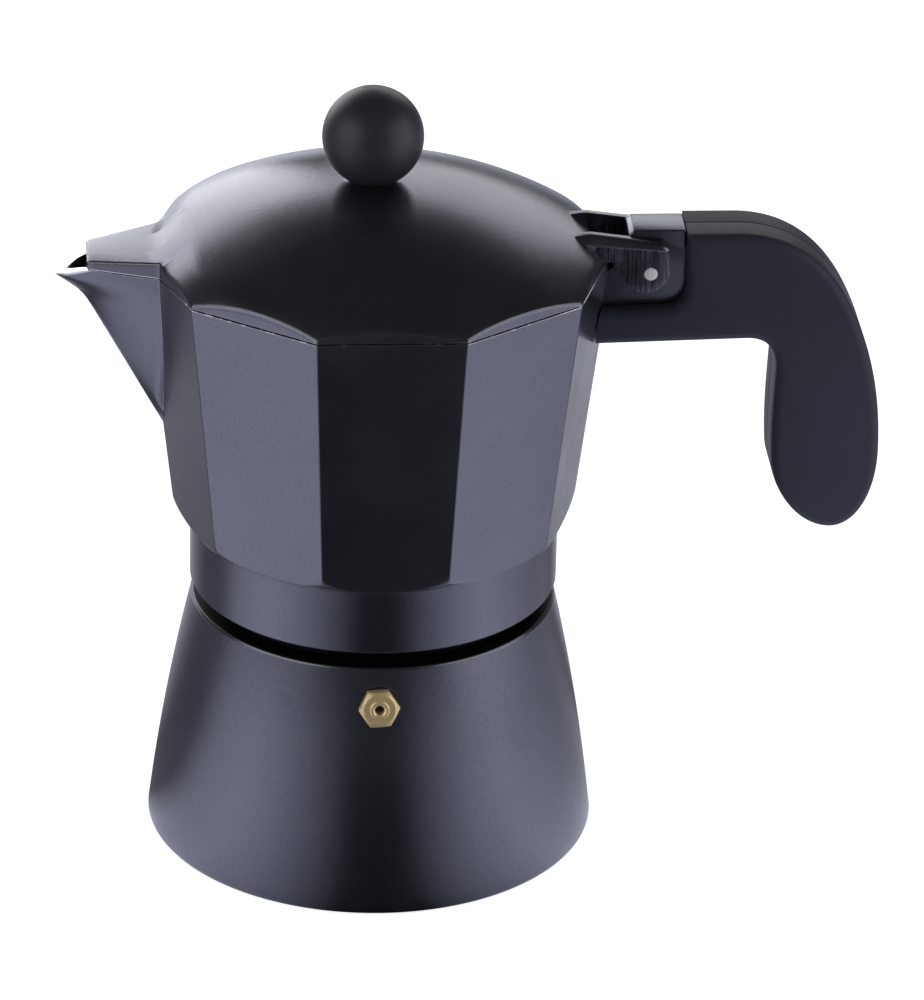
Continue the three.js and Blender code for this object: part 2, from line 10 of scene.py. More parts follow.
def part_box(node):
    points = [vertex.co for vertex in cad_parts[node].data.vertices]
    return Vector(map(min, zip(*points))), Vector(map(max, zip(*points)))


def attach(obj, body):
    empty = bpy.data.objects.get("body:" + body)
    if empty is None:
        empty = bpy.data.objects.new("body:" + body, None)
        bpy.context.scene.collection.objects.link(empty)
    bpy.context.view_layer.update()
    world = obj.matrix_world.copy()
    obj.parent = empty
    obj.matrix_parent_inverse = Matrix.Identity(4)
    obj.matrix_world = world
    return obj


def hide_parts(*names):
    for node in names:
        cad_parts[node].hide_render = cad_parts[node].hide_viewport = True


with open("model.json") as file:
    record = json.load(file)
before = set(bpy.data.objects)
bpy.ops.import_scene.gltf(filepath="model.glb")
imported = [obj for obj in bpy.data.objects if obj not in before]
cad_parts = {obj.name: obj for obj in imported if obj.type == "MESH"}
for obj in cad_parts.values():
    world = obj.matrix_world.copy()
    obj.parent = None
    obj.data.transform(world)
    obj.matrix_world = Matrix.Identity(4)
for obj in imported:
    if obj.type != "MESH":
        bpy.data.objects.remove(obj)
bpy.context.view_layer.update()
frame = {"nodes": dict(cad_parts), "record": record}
nodes = frame["nodes"]
mm = 0.001
deg = math.pi / 180
creaseAngle = 35
print("frame loaded")


def meshPiece(name, points, faces, sharpAngle=creaseAngle):
    mesh = bpy.data.meshes.new(name)
    mesh.from_pydata([(x * mm, y * mm, z * mm) for x, y, z in points], [], faces)
    work = bmesh.new()
    work.from_mesh(mesh)
    bmesh.ops.remove_doubles(work, verts=work.verts, dist=1e-7)
    bmesh.ops.dissolve_degenerate(work, edges=work.edges, dist=1e-8)
    bmesh.ops.recalc_face_normals(work, faces=work.faces)
    work.to_mesh(mesh)
    work.free()
    piece = bpy.data.objects.new(name, mesh)
    bpy.context.scene.collection.objects.link(piece)
    smoothPiece(piece, sharpAngle)
    return piece


def smoothPiece(piece, sharpAngle=creaseAngle):
    piece.data.shade_smooth()
    piece.data.set_sharp_from_angle(angle=sharpAngle * deg)


# rows of points joined into a skin that closes round each row, and over the rows if asked
def skin(name, rows, closeRows=False, capEnds=False, sharpAngle=creaseAngle):
    count = len(rows[0])
    points = [p for row in rows for p in row]
    faces = []
    last = len(rows) if closeRows else len(rows) - 1
    for i in range(last):
        j = (i + 1) % len(rows)
        for k in range(count):
            n = (k + 1) % count
            faces.append((i * count + k, i * count + n, j * count + n, j * count + k))
    if capEnds:
        faces.append(tuple(range(count)))
        faces.append(tuple(range((len(rows) - 1) * count, len(rows) * count))[::-1])
    return meshPiece(name, points, faces, sharpAngle)


# turned piece about Z from [radius, z] pairs; a radius of zero makes a pole
def turned(name, profile, steps=160, sharpAngle=creaseAngle):
    rows = []
    for r, z in profile:
        rows.append([(r * math.cos(2 * math.pi * k / steps), r * math.sin(2 * math.pi * k / steps), z)
                     for k in range(steps)])
    return skin(name, rows, sharpAngle=sharpAngle)


def arcPoints(centre, radius, start, stop, steps):
    return [(centre[0] + radius * math.cos((start + (stop - start) * i / steps) * deg),
             centre[1] + radius * math.sin((start + (stop - start) * i / steps) * deg))
            for i in range(steps + 1)]


def bezier(p0, p1, p2, p3, steps):
    out = []
    for i in range(1, steps + 1):
        t = i / steps
        a, b, c, d = (1 - t) ** 3, 3 * t * (1 - t) ** 2, 3 * t * t * (1 - t), t ** 3
        out.append((a * p0[0] + b * p1[0] + c * p2[0] + d * p3[0],
                    a * p0[1] + b * p1[1] + c * p2[1] + d * p3[1]))
    return out


# plate with an outline in X and Z between two Y values, edges rounded
def plateXZ(name, outline, lowY, highY, rounding=0.0, segments=3):
    count = len(outline)
    points = [(x, lowY, z) for x, z in outline] + [(x, highY, z) for x, z in outline]
    faces = [tuple(range(count)), tuple(range(count, 2 * count))[::-1]]
    for k in range(count):
        n = (k + 1) % count
        faces.append((k, n, n + count, k + count))
    piece = meshPiece(name, points, faces)
    if rounding:
        bevel = piece.modifiers.new("edges", "BEVEL")
        bevel.width = rounding * mm
        bevel.segments = segments
        bevel.limit_method = "ANGLE"
        bevel.angle_limit = 40 * deg
        bevel.harden_normals = False
        applyModifiers(piece)
        smoothPiece(piece)
    return piece


def applyModifiers(piece):
    graph = bpy.context.evaluated_depsgraph_get()
    baked = bpy.data.meshes.new_from_object(piece.evaluated_get(graph))
    piece.modifiers.clear()
    piece.data = baked


# cuts, joins or trims a piece with a tool, and bakes the result; the tool is used up
def combine(piece, tool, operation, sharpAngle=creaseAngle):
    change = piece.modifiers.new("cut", "BOOLEAN")
    change.operation = operation
    change.solver = "EXACT"
    change.object = tool
    applyModifiers(piece)
    smoothPiece(piece, sharpAngle)
    bpy.data.objects.remove(tool, do_unlink=True)
    return piece


def box(name, low, high):
    xs, ys, zs = zip(low, high)
    points = [(x, y, z) for x in xs for y in ys for z in zs]
    faces = [(0, 1, 3, 2), (4, 6, 7, 5), (0, 4, 5, 1), (2, 3, 7, 6), (0, 2, 6, 4), (1, 5, 7, 3)]
    return meshPiece(name, points, faces)


def rodAlong(name, radius, start, stop, steps=48):
    a, b = Vector(start), Vector(stop)
    axis = (b - a).normalized()
    side = axis.orthogonal().normalized()
    other = axis.cross(side)
    rows = []
    for centre in (a, b):
        rows.append([tuple(centre + radius * (math.cos(2 * math.pi * k / steps) * side
                     + math.sin(2 * math.pi * k / steps) * other)) for k in range(steps)])
    return skin(name, rows, capEnds=True)


def softMin(a, b, blend):
    h = max(blend - abs(a - b), 0.0) / blend
    return min(a, b) - h * h * blend * 0.25


def softMax(a, b, blend):
    return -softMin(-a, -b, blend)


def smoothStep(low, high, x):
    t = min(max((x - low) / (high - low), 0.0), 1.0)
    return t * t * (3 - 2 * t)


sides = 10
sector = 360 / sides
halfSector = sector / 2
cornerSoftness = 0.017
cornerSteps = [0, 0.12, 0.24, 0.36, 0.6, 1.2, 2.4, 4, 6, 8, 10, 12, 14, 16]


# radius of a ten-sided outline with rounded corners, a corner on +X and on -X
def tenSided(angle, cornerR, softness=cornerSoftness):
    phi = abs((angle / deg + halfSector) % sector - halfSector) * deg
    half = halfSector * deg
    rounding = softness * cornerR
    centre = cornerR - rounding * (1 / math.cos(half) - 1) - rounding
    touch = math.atan2(rounding * math.sin(half), centre + rounding * math.cos(half))
    if phi < touch:
        return centre * math.cos(phi) + math.sqrt(rounding ** 2 - (centre * math.sin(phi)) ** 2)
    flat = centre * math.cos(half) + rounding
    return flat / math.cos(half - phi)


# angles round the pot, close together at the corners
def sectorAngles():
    angles = []
    for k in range(sides):
        for step in cornerSteps[:0:-1]:
            angles.append((sector * k - step) * deg)
        for step in cornerSteps:
            angles.append((sector * k + step) * deg)
        angles.append((sector * k + halfSector) * deg)
    return angles


# one ring of points at a height, with its radius worked out from the angle
def ringAt(radiusOf, z):
    return [(radiusOf(a) * math.cos(a), radiusOf(a) * math.sin(a), z) for a in sectorAngles()]


def middle(low, high, axis):
    return (low[axis] + high[axis]) / 2


def nodeBox(name):
    low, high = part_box(name)
    return [v / mm for v in low], [v / mm for v in high]


boilerLow, boilerHigh = nodeBox("boiler")
collectorLow, collectorHigh = nodeBox("collector")
knobLow, knobHigh = nodeBox("knob")
knobX = middle(knobLow, knobHigh, 0)
pinLow, pinHigh = nodeBox("hinge_pin")
pinX, pinZ = middle(pinLow, pinHigh, 0), middle(pinLow, pinHigh, 2)
valveX = middle(*nodeBox("valve_body"), 0)
screwLow, screwHigh = nodeBox("handle_screw")
screwX = middle(screwLow, screwHigh, 0)
baseR = (boilerHigh[0] - boilerLow[0]) / 2
collarLow = collectorLow[2]
lugAboveRim = 6.0
rimZ = collectorHigh[2] - lugAboveRim


ridgeSpec = {"turns": 1.5, "pitch": 3.0, "halfRoot": 0.75, "halfShoulder": 0.42, "halfCrest": 0.3,
             "bite": 0.3, "steps": 160, "fadeSteps": 10}


# raised screw thread; the crest sinks to the root at both ends
def screwRidge(name, rootR, crestR, startZ):
    s = ridgeSpec
    out = 1 if crestR > rootR else -1
    half = [(rootR - out * s["bite"], s["halfRoot"]), (rootR, s["halfRoot"]),
            (crestR - out * 0.1, s["halfShoulder"]), (crestR, s["halfCrest"])]
    section = [(r, -dz) for r, dz in half] + half[::-1]
    rows = []
    for i in range(s["steps"] + 1):
        a = i / s["steps"] * s["turns"] * 2 * math.pi
        fade = min(1, i / s["fadeSteps"], (s["steps"] - i) / s["fadeSteps"])
        row = []
        for r, dz in section:
            faded = rootR + (r - rootR) * (fade if out * (r - rootR) > 0 else 1)
            height = startZ + s["pitch"] * a / (2 * math.pi) + dz
            row.append((faded * math.cos(a), faded * math.sin(a), height))
        rows.append(row)
    return skin(name, rows, capEnds=True)


boilerSpec = {"coneFootZ": 1.2, "shoulderR": 37.2, "shoulderZ": 51.6, "shoulderRound": 0.6, "bow": 0.75,
              "neckR": 32.4, "boreR": 29.4, "wall": 2.6, "footRound": 1.3, "floorZ": 3.0, "ridgeR": 33.4,
              "ridgeZ": 57.6, "valveZ": 44, "valveSink": 0.25, "valveHoleR": 3.0, "spotFaceR": 4.3}


def boilerRadius(z):
    s = boilerSpec
    t = (z - s["coneFootZ"]) / (s["shoulderZ"] - s["coneFootZ"])
    return baseR + (s["shoulderR"] - baseR) * t + s["bow"] * 4 * t * (1 - t)


# where the valve's axis meets the wall, and its direction
def valvePlace():
    joint = next(j for j in frame["record"]["behaviour"]["joints"] if j["name"] == "relief_travel")
    z = boilerSpec["valveZ"]
    return Vector((valveX, -boilerRadius(z) + boilerSpec["valveSink"], z)), Vector(joint["axis"])


def makeBoiler():
    s = boilerSpec
    top, foot, neckR, floorZ = boilerHigh[2], s["footRound"], s["neckR"], s["floorZ"]
    # the foot, the cone and the neck, then down the inside to the floor
    profile = [(0, 0.0), (20, 0.0), (38.5, 0.0), (39, 0.15), (39.5, 0.0)]
    profile += arcPoints((baseR - foot + 0.02, foot), foot, -90, 0, 8)
    for i in range(1, 25):
        z = foot + (s["shoulderZ"] - 0.5 - foot) * i / 24
        profile.append((boilerRadius(z), z))
    edgeR = s["shoulderRound"]
    profile += arcPoints((s["shoulderR"] - edgeR, s["shoulderZ"] - 0.5), edgeR, 10, 90, 5)
    profile += [(35, 51.9), (33.4, 52.0), (32.7, 52.6), (neckR, 53.4), (neckR, top - 0.5),
                (neckR - 0.15, top - 0.15), (neckR - 0.5, top), (s["boreR"] + 0.5, top),
                (s["boreR"] + 0.1, top - 0.2), (s["boreR"], top - 0.6), (s["boreR"], 54), (30.4, 52),
                (35.6, 47.5), (boilerRadius(46) - s["wall"], 45)]
    for i in range(1, 8):
        z = 45 - 38 * i / 7
        profile.append((boilerRadius(z) - s["wall"], z))
    profile += [(40.8, 4.8), (38.5, 3.3), (36, floorZ), (18, floorZ), (0, floorZ)]
    piece = turned("boilerBody", profile, 192)
    centre, axis = valvePlace()
    spot = rodAlong("spotFace", s["spotFaceR"], centre, centre + axis * 4, 64)
    combine(piece, spot, "DIFFERENCE")
    hole = rodAlong("valveHole", s["valveHoleR"], centre - axis * 9, centre + axis * 3)
    combine(piece, hole, "DIFFERENCE")
    ridge = screwRidge("neckRidge", neckR, s["ridgeR"], s["ridgeZ"])
    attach(piece, "boiler")
    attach(ridge, "boiler")
    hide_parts("boiler")
    return piece, ridge


chamberSpec = {"lowR": 41.2, "lowZ": 73.4, "rimR": 47.4, "wall": 2.5, "floorZ": 75.6, "collarR": 37.5,
               "collarBoreR": 34, "shoulderR": 37.7, "shoulderZ": 69.44, "shoulderWide": 4.1,
               "shoulderHigh": 6.4, "shoulderTurn": 62, "spoutDip": 1.2, "ridgeR": 32.85, "ridgeZ": 59.1,
               "crease": 28}


def chamberR(z):
    s = chamberSpec
    return s["lowR"] + (s["rimR"] - s["lowR"]) * (z - s["lowZ"]) / (rimZ - s["lowZ"])


# how far the rim and the lid's skirt drop near the spout
def rimDrop(angle):
    away = abs(abs((angle / deg + 180) % 360 - 180) - 180)
    return chamberSpec["spoutDip"] * (1 - smoothStep(14, 33, away))


def makeChamberShell():
    s = chamberSpec
    rim = rimZ
    angles = sectorAngles()
    rows = []

    def roundRow(r, z):
        rows.append([(r * math.cos(a), r * math.sin(a), z) for a in angles])

    # ten-sided where that is smaller than the turned radius
    def mixedRow(cornerR, turnedR, z, softness=cornerSoftness):
        row = []
        for a in angles:
            r = softMin(tenSided(a, cornerR, softness), turnedR, 0.35)
            row.append((r * math.cos(a), r * math.sin(a), z - rimDrop(a) * smoothStep(112, rim, z)))
        rows.append(row)

    # underside, from the bore out to the collar
    boreR, collarR = s["collarBoreR"], s["collarR"]
    for r, z in [(6.35, 87.0), (6.35, 79.2), (6.2, 78.6), (8.7, 76.4), (22, 72.5), (28.2, 72.4), (28.3, 72.2),
                 (28.3, 71.3), (28.5, 71.2), (32.8, 71.2), (33, 71.0), (33, 67.5), (33.2, 67.4), (33.9, 67.4),
                 (boreR, 67.2), (boreR, 56.0), (boreR + 0.5, 55.25), (boreR + 0.8, collarLow),
                 (collarR - 0.5, collarLow), (collarR - 0.2, collarLow + 0.1), (collarR, collarLow + 0.45)]:
        roundRow(r, z)
    for i in range(1, 12):
        roundRow(collarR, collarLow + 0.45 + (68.75 - collarLow - 0.45) * i / 11)
    for r, z in [(37.44, 68.92), (37.2, 69.05), (37.16, 69.2), (37.24, 69.34), (37.55, 69.42)]:
        roundRow(r, z)
    # turned lower edge that runs out into the ten sides
    wide, high, turn = s["shoulderWide"], s["shoulderHigh"], s["shoulderTurn"]
    for i in range(34):
        a = i / 33 * turn * deg
        z = s["shoulderZ"] + high * (1 - math.cos(a))
        mixedRow(chamberR(z), s["shoulderR"] + wide * math.sin(a), z)
    z = rows[-1][0][2]
    slope = wide * math.cos(turn * deg) / (high * math.sin(turn * deg))
    edgeR = s["shoulderR"] + wide * math.sin(turn * deg)
    for i in range(1, 9):
        step = z + 0.25 * i
        mixedRow(chamberR(step), edgeR + slope * (step - z), step)
    # above the turned edge the ten sides run plain up to the rim
    unturned = 80
    for i in range(1, 17):
        step = z + 2.5 + (rim - 0.35 - z - 2.5) * i / 16
        mixedRow(chamberR(step), unturned, step)
    for cut, drop in [(0.03, 0.22), (0.1, 0.1), (0.22, 0.03), (0.38, 0)]:
        mixedRow(chamberR(rim) - cut, unturned, rim - drop)
    innerTop = s["rimR"] - s["wall"] - 0.1
    innerLow = chamberR(s["floorZ"]) - s["wall"] - 0.6
    for cut, drop in [(-0.5, 0), (-0.2, 0.05), (-0.05, 0.2), (0, 0.45)]:
        mixedRow(innerTop - cut, unturned, rim - drop, 0.05)
    for i in range(1, 15):
        t = i / 14
        z = rim - 0.45 + (s["floorZ"] + 2.6 - rim) * t
        mixedRow(innerTop + (innerLow - innerTop) * t, unturned, z, 0.05)
    for cut, lift in [(0.4, 1.2), (1.2, 0.45), (2.4, 0.1), (3.6, 0)]:
        mixedRow(innerLow - cut, unturned, s["floorZ"] + lift, 0.08)
    # the floor rises to the boss that holds the column
    for r, z in [(34, 75.65), (30, 76.2), (24, 77.3), (18, 78.7), (14, 79.8), (11, 81.2), (9.8, 82.3),
                 (9.2, 83.6), (8.9, 86.4), (8.7, 86.9), (8.3, 87.2), (6.8, 87.2), (6.45, 87.15)]:
        roundRow(r, z)
    return skin("chamberBody", rows, closeRows=True, sharpAngle=s["crease"])


# the spout's keel as height and x
keelLine = [(88.4, -42.6), (90, -43.5), (114.5, -57.0), (116.4, -58.1), (117.6, -58.9), (118.8, -60.0),
            (119.8, -61.3), (120.8, -62.7), (121.6, -63.9), (122.4, -64.8), (123.2, -65.08), (127.5, -65.1)]


def keelX(z):
    for (z0, x0), (z1, x1) in zip(keelLine, keelLine[1:]):
        if z <= z1:
            return x0 + (x1 - x0) * (z - z0) / (z1 - z0)
    return keelLine[-1][1]


spoutSpec = {"footZ": 88.2, "high": 38.1, "halfWide": 10.4, "rootX": -41.0, "wall": 1.75, "keelWall": 2.1,
             "channelRootX": -36.0, "pointsAlong": 26, "crease": 30}


# one level cut through the spout, from the root round the keel and back
def spoutRow(z, rootX, inset=0.0, keelInset=0.0):
    s = spoutSpec
    tip = keelX(z - keelInset * 0.6) + keelInset
    wide = max(s["halfWide"] * max((z - s["footZ"]) / s["high"], 0) ** 0.96 - inset, 0.12)
    power = 0.93 - 0.33 * smoothStep(104, 125, z)
    half = []
    for i in range(s["pointsAlong"] + 1):
        u = (i / s["pointsAlong"]) ** 1.8
        x = tip + (rootX - tip) * u
        full = min((x - tip) / max(-44.6 - tip, 1.5), 1.15)
        nose = math.sqrt(0.0016 + full * full) - 0.04 * (1 - full)
        half.append((x, wide * max(nose, 0) ** power if i else 0))
    near = [(x, -y, z) for x, y in half[::-1]]
    far = [(x, y, z) for x, y in half[1:]]
    return near + far


def makeSpout():
    s = spoutSpec
    zs = [88.3] + [89 + (116 - 89) * i / 18 for i in range(19)] + [116 + 11.4 * i / 36 for i in range(1, 37)]
    rows = [spoutRow(z, s["rootX"]) for z in zs]
    outer = skin("spoutBody", rows, capEnds=True, sharpAngle=s["crease"])
    zs = [97 + (118 - 97) * i / 14 for i in range(15)] + [118 + 12 * i / 30 for i in range(1, 31)]
    rows = [spoutRow(z, s["channelRootX"], s["wall"], s["keelWall"]) for z in zs]
    channel = skin("spoutChannel", rows, capEnds=True, sharpAngle=s["crease"])
    lipLine = [(-75, 119.8), (-66, 121.7), (-64.8, 122.15), (-62.5, 123.2), (-60, 124.4), (-58.2, 124.95),
               (-56.5, 125.08), (-30, 125.1), (-30, 140), (-75, 140)]
    lipCut = plateXZ("lipCut", lipLine, -20, 20)
    combine(outer, lipCut, "DIFFERENCE")
    return outer, channel


lugSpec = {"halfWidth": 4.4, "leftX": 49.6, "topZ": 132.3, "rightX": 61.15, "webX": 46.7, "webTopZ": 124.5,
           "rounding": 0.35, "pinHoleR": 1.55, "screwHoleR": 2.0}
# the tongue that reaches into the handle, from its underside round its nose
tongue = [(78, 113.7), (84, 118.2), (84, 122), (78, 127.6)]


def makeLug():
    s = lugSpec
    right, top, left, webX, webTop = s["rightX"], s["topZ"], s["leftX"], s["webX"], s["webTopZ"]
    outline = [(44.1, 113.25)] + tongue
    outline += [(right, 129), (right, top), (left + 1.0, top), (left, top - 1.1), (left, webTop),
                (webX, webTop), (webX - 1.4, webTop - 1.1)]
    return plateXZ("hingeLug", outline, -s["halfWidth"], s["halfWidth"], s["rounding"])


def makeCollector():
    s = chamberSpec
    body = makeChamberShell()
    outer, channel = makeSpout()
    # the spout may not reach into the chamber
    inner = [ringAt(lambda a: tenSided(a, chamberR(z) - 1.6), z) for z in (86, 128)]
    combine(outer, skin("spoutTrim", inner, capEnds=True), "DIFFERENCE")
    pinHole = rodAlong("pinHole", lugSpec["pinHoleR"], (pinX, -9, pinZ), (pinX, 9, pinZ))
    screwTop = screwHigh[2] + 0.5
    screwHole = rodAlong("screwHole", lugSpec["screwHoleR"], (screwX, 0, 110), (screwX, 0, screwTop))
    for tool, operation in ((outer, "UNION"), (channel, "DIFFERENCE"), (makeLug(), "UNION"),
                            (pinHole, "DIFFERENCE"), (screwHole, "DIFFERENCE")):
        combine(body, tool, operation, s["crease"])
    ridge = screwRidge("collarRidge", s["collarBoreR"], s["ridgeR"], s["ridgeZ"])
    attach(body, "collector")
    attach(ridge, "collector")
    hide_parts("collector")
    return body, ridge


lidSpec = {"sphereR": 86.4, "apexZ": 142.0, "rimR": 47.4, "thick": 2.1, "gap": 0.25, "edgeRound": 0.5,
           "cornerLift": 0.75, "cornerSlope": 0.95, "coverTip": -58.3, "coverTipHalf": 5.5,
           "coverSpread": 0.35, "coverTipZ": 127.2, "coverRise": 0.115, "screwHoleR": 2.2, "padR": 4.5,
           "padZ": 142.1, "padUnderZ": 139.9, "hingeGapX": 42.3, "crease": 30}


def domeZ(r):
    s = lidSpec
    return s["apexZ"] - s["sphereR"] + math.sqrt(s["sphereR"] ** 2 - r * r)


def coverHalf(x):
    return lidSpec["coverTipHalf"] + (x - lidSpec["coverTip"]) * lidSpec["coverSpread"]


# top of the raised cover over the spout, which dips into the dome behind its root
def coverZ(x, y):
    s = lidSpec
    top = s["coverTipZ"] + (x - s["coverTip"]) * s["coverRise"] - max(x + 43, 0) ** 2 * 0.03
    crown = 0.3 * (y / coverHalf(x)) ** 2
    beside = max(abs(y) - coverHalf(x) - 1, 0)
    return top - crown - beside * 0.5


def lidTop(x, y):
    s = lidSpec
    slope = s["cornerSlope"] * (s["rimR"] - math.hypot(x, y))
    edge = rimZ + s["cornerLift"] + slope - rimDrop(math.atan2(y, x))
    dome = softMin(domeZ(min(math.hypot(x - knobX, y), 60)), edge, 0.7)
    return softMax(dome, coverZ(x, y), 1.0)


# distance from the centre to the lid's edge along an angle
def lidEdge(a):
    s = lidSpec
    r = tenSided(a, s["rimR"])
    ahead, aside = -math.cos(a), abs(math.sin(a))
    if ahead > 0.95:
        tipR = -s["coverTip"] / ahead
        sideR = (s["coverTipHalf"] - s["coverTip"] * s["coverSpread"]) / (aside + s["coverSpread"] * ahead)
        cover = softMin(tipR, sideR, 0.9)
        r = softMax(r, cover, 0.6)
    return r


# even and close together across the cover, and as the chamber's elsewhere
def lidAngles():
    keep = [a for a in sectorAngles() if abs((a / deg) % 360 - 180) > 16.1]
    keep = [a % (2 * math.pi) for a in keep]
    near = [(180 - 16 + 32 * i / 120) * deg for i in range(121)]
    return sorted(keep + near)


def makeLidShell():
    s = lidSpec
    angles = lidAngles()
    rows = []
    low = rimZ + s["gap"]
    holeR, padR = s["screwHoleR"], s["padR"]

    # the rings near the knob are centred on it
    def row(radius, height):
        out = []
        for a in angles:
            r = radius(a)
            x, y = r * math.cos(a) + knobX * (1 - smoothStep(8, 26, r)), r * math.sin(a)
            out.append((x, y, height(x, y, a)))
        rows.append(out)

    domeStart = padR + 0.4
    for radius, height in ((holeR, s["padUnderZ"]), (holeR, s["padZ"]), (padR, s["padZ"]),
                           (domeStart, domeZ(domeStart) + 0.02)):
        row(lambda a: radius, lambda x, y, a: height)
    rounding = s["edgeRound"]
    for i in range(1, 44):
        t = i / 43
        row(lambda a: domeStart + (lidEdge(a) - rounding - domeStart) * t, lambda x, y, a: lidTop(x, y))
    for turn in (22, 45, 68, 90):
        shrink = rounding * (1 - math.sin(turn * deg))
        drop = rounding * (1 - math.cos(turn * deg))
        row(lambda a: lidEdge(a) - shrink, lambda x, y, a: lidTop(x, y) - drop)
    topRow = rows[-1]
    for t in (0.33, 0.66, 0.92):
        rows.append([(x, y, z + (low + 0.2 - rimDrop(a) - z) * t) for (x, y, z), a in zip(topRow, angles)])
    for inset, lift in ((0.03, 0.1), (0.12, 0), (1.35, 0), (1.5, 0.15)):
        row(lambda a: lidEdge(a) - inset, lambda x, y, a: low + lift - rimDrop(a))

    def underside(x, y, a):
        if math.hypot(x - knobX, y) <= 3:
            return s["padUnderZ"]
        return max(lidTop(x, y) - s["thick"], low + 0.25 - rimDrop(a))

    for i in range(14):
        t = i / 13
        row(lambda a: (lidEdge(a) - 1.55) * (1 - t) + holeR * t, underside)
    return skin("lidShell", rows, closeRows=True, sharpAngle=s["crease"])


earSpec = {"innerY": 4.75, "cheekY": 6.9, "ribY": 7.55, "lobeX": 53.2, "lobeZ": 124.6, "lobeR": 4.75,
           "sweepR": 6.9, "ribRound": 1.75, "ribStartX": 37.5, "ribLong": 20, "ribTopZ": 132.35,
           "ribUnderZ": 130.25, "ribBendX": 42, "endRound": 1.65, "pinHoleR": 1.5}


# a rounded bar along the top of the ear, over a flat machined cheek
def makeEar(side):
    s = earSpec
    backX = s["lobeX"] + s["lobeR"]
    cheek = [(43.5, 129.8), (43.5, 126.6), (46.3, 126.5), (46.5, 125.6), (47.8, 125.4)]
    cheek += arcPoints((s["lobeX"], s["lobeZ"]), s["lobeR"], 192, 360, 40)
    cheek += [(backX, 127.6), (backX - 0.8, 129.4)]
    low, high = sorted((side * (s["innerY"] + 0.05), side * s["cheekY"]))
    cheekPiece = plateXZ("earCheek", cheek, low, high, 0.12, 2)
    rows = []
    for i in range(45):
        x = s["ribStartX"] + s["ribLong"] * i / 44
        past = x - s["ribBendX"]
        top = s["ribTopZ"] - (0.136 * past if past > 0 else 0.06 * (-past) ** 1.6)
        # the back of the ear stays inside its swing past the handle
        if x > pinX:
            top = min(top, pinZ + math.sqrt(s["sweepR"] ** 2 - (x - pinX) ** 2))
        low = s["ribUnderZ"] - 0.087 * (x - 41.4)
        endRound = 1 - math.sqrt(max(1 - (max(x - 55.9, 0) / s["endRound"]) ** 2, 0))
        top = max(top - 0.9 * endRound, low + 0.5)
        r = min(s["ribRound"], top - low - 0.15)
        out = s["ribY"] - 0.6 * endRound
        inner = s["innerY"] + 0.02
        section = [(inner, low - 0.9), (inner, top - 0.12), (inner + 0.12, top)]
        section += arcPoints((out - r, top - r), r, 90, 0, 10)
        section += [(out, low + 0.18), (out - 0.16, low), (out - 0.5, low - 0.05)]
        section += [(s["cheekY"] - 0.4, low - 0.9)]
        rows.append([(x, side * y, z) for y, z in section])
    rib = skin("earRib", rows, capEnds=True, sharpAngle=45)
    combine(cheekPiece, rib, "UNION")
    return cheekPiece


def makeLid():
    shell = makeLidShell()
    crease, inner = lidSpec["crease"], earSpec["innerY"]
    hingeGap = box("hingeGap", (lidSpec["hingeGapX"], -inner, 118), (58, inner, 141))
    combine(shell, hingeGap, "DIFFERENCE", crease)
    for side in (-1, 1):
        combine(shell, makeEar(side), "UNION", crease)
    hole = rodAlong("earHole", earSpec["pinHoleR"], (pinX, -10, pinZ), (pinX, 10, pinZ))
    combine(shell, hole, "DIFFERENCE", crease)
    shell.name = "lidBody"
    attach(shell, "lid")
    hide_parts("lid")
    return shell


knobSpec = {"partingZ": -3.2, "partingDepth": 0.07, "partingWidth": 0.16, "seatR": 3.1}


def makeKnob():
    r = (knobHigh[0] - knobLow[0]) / 2
    top, seat = knobHigh[2], knobLow[2]
    centre = top - r
    start = math.acos((centre - seat) / r)
    profile = [(0, seat + 0.2), (knobSpec["seatR"] - 0.2, seat + 0.2), (knobSpec["seatR"], seat)]
    for i in range(97):
        a = start + (math.pi - start) * i / 96
        z = -r * math.cos(a)
        away = (z - knobSpec["partingZ"]) / knobSpec["partingWidth"]
        rr = r - knobSpec["partingDepth"] * math.exp(-away ** 2)
        profile.append((max(rr * math.sin(a), 0), centre - rr * math.cos(a)))
    profile[-1] = (0, profile[-1][1])
    piece = turned("knobBall", profile, 128, sharpAngle=50)
    piece.data.transform(Matrix.Translation((knobX * mm, 0, 0)))
    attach(piece, "lid")
    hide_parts("knob")
    return piece


pinSpec = {"steps": 40, "tipR": 0.001, "end": [(0, 0.3), (0.02, 0.72), (0.12, 0.93), (0.3, 1)]}


# the rounded end is given as distances from the tip and parts of the radius
def makePin():
    r = (pinHigh[0] - pinLow[0]) / 2
    half = pinHigh[1]
    ends = [(-half, pinSpec["tipR"])] + [(-half + inset, r * part) for inset, part in pinSpec["end"]]
    ends += [(-y, rr) for y, rr in ends[::-1]]
    rows = []
    for y, rr in ends:
        circle = arcPoints((pinX, pinZ), rr, 0, 360, pinSpec["steps"])[:-1]
        rows.append([(x, y, z) for x, z in circle])
    piece = skin("hingePinPaintedGlint", rows, capEnds=True)
    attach(piece, "collector")
    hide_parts("hinge_pin")
    return piece


gripSpec = {"half": 7.5, "edge": 2.0, "wallX": 61.3, "shelfZ": 116.1, "topZ": 132.1, "underZ": 108.5,
            "armX": 41.5, "bendX": 74, "topX": 71.5, "seamDepth": 0.1, "socketHalf": 4.65, "socketGap": 0.25,
            "bodyGap": 0.3, "screwWayR": 2.1, "headWayR": 4.2, "headWayZ": 111.5, "crease": 45}


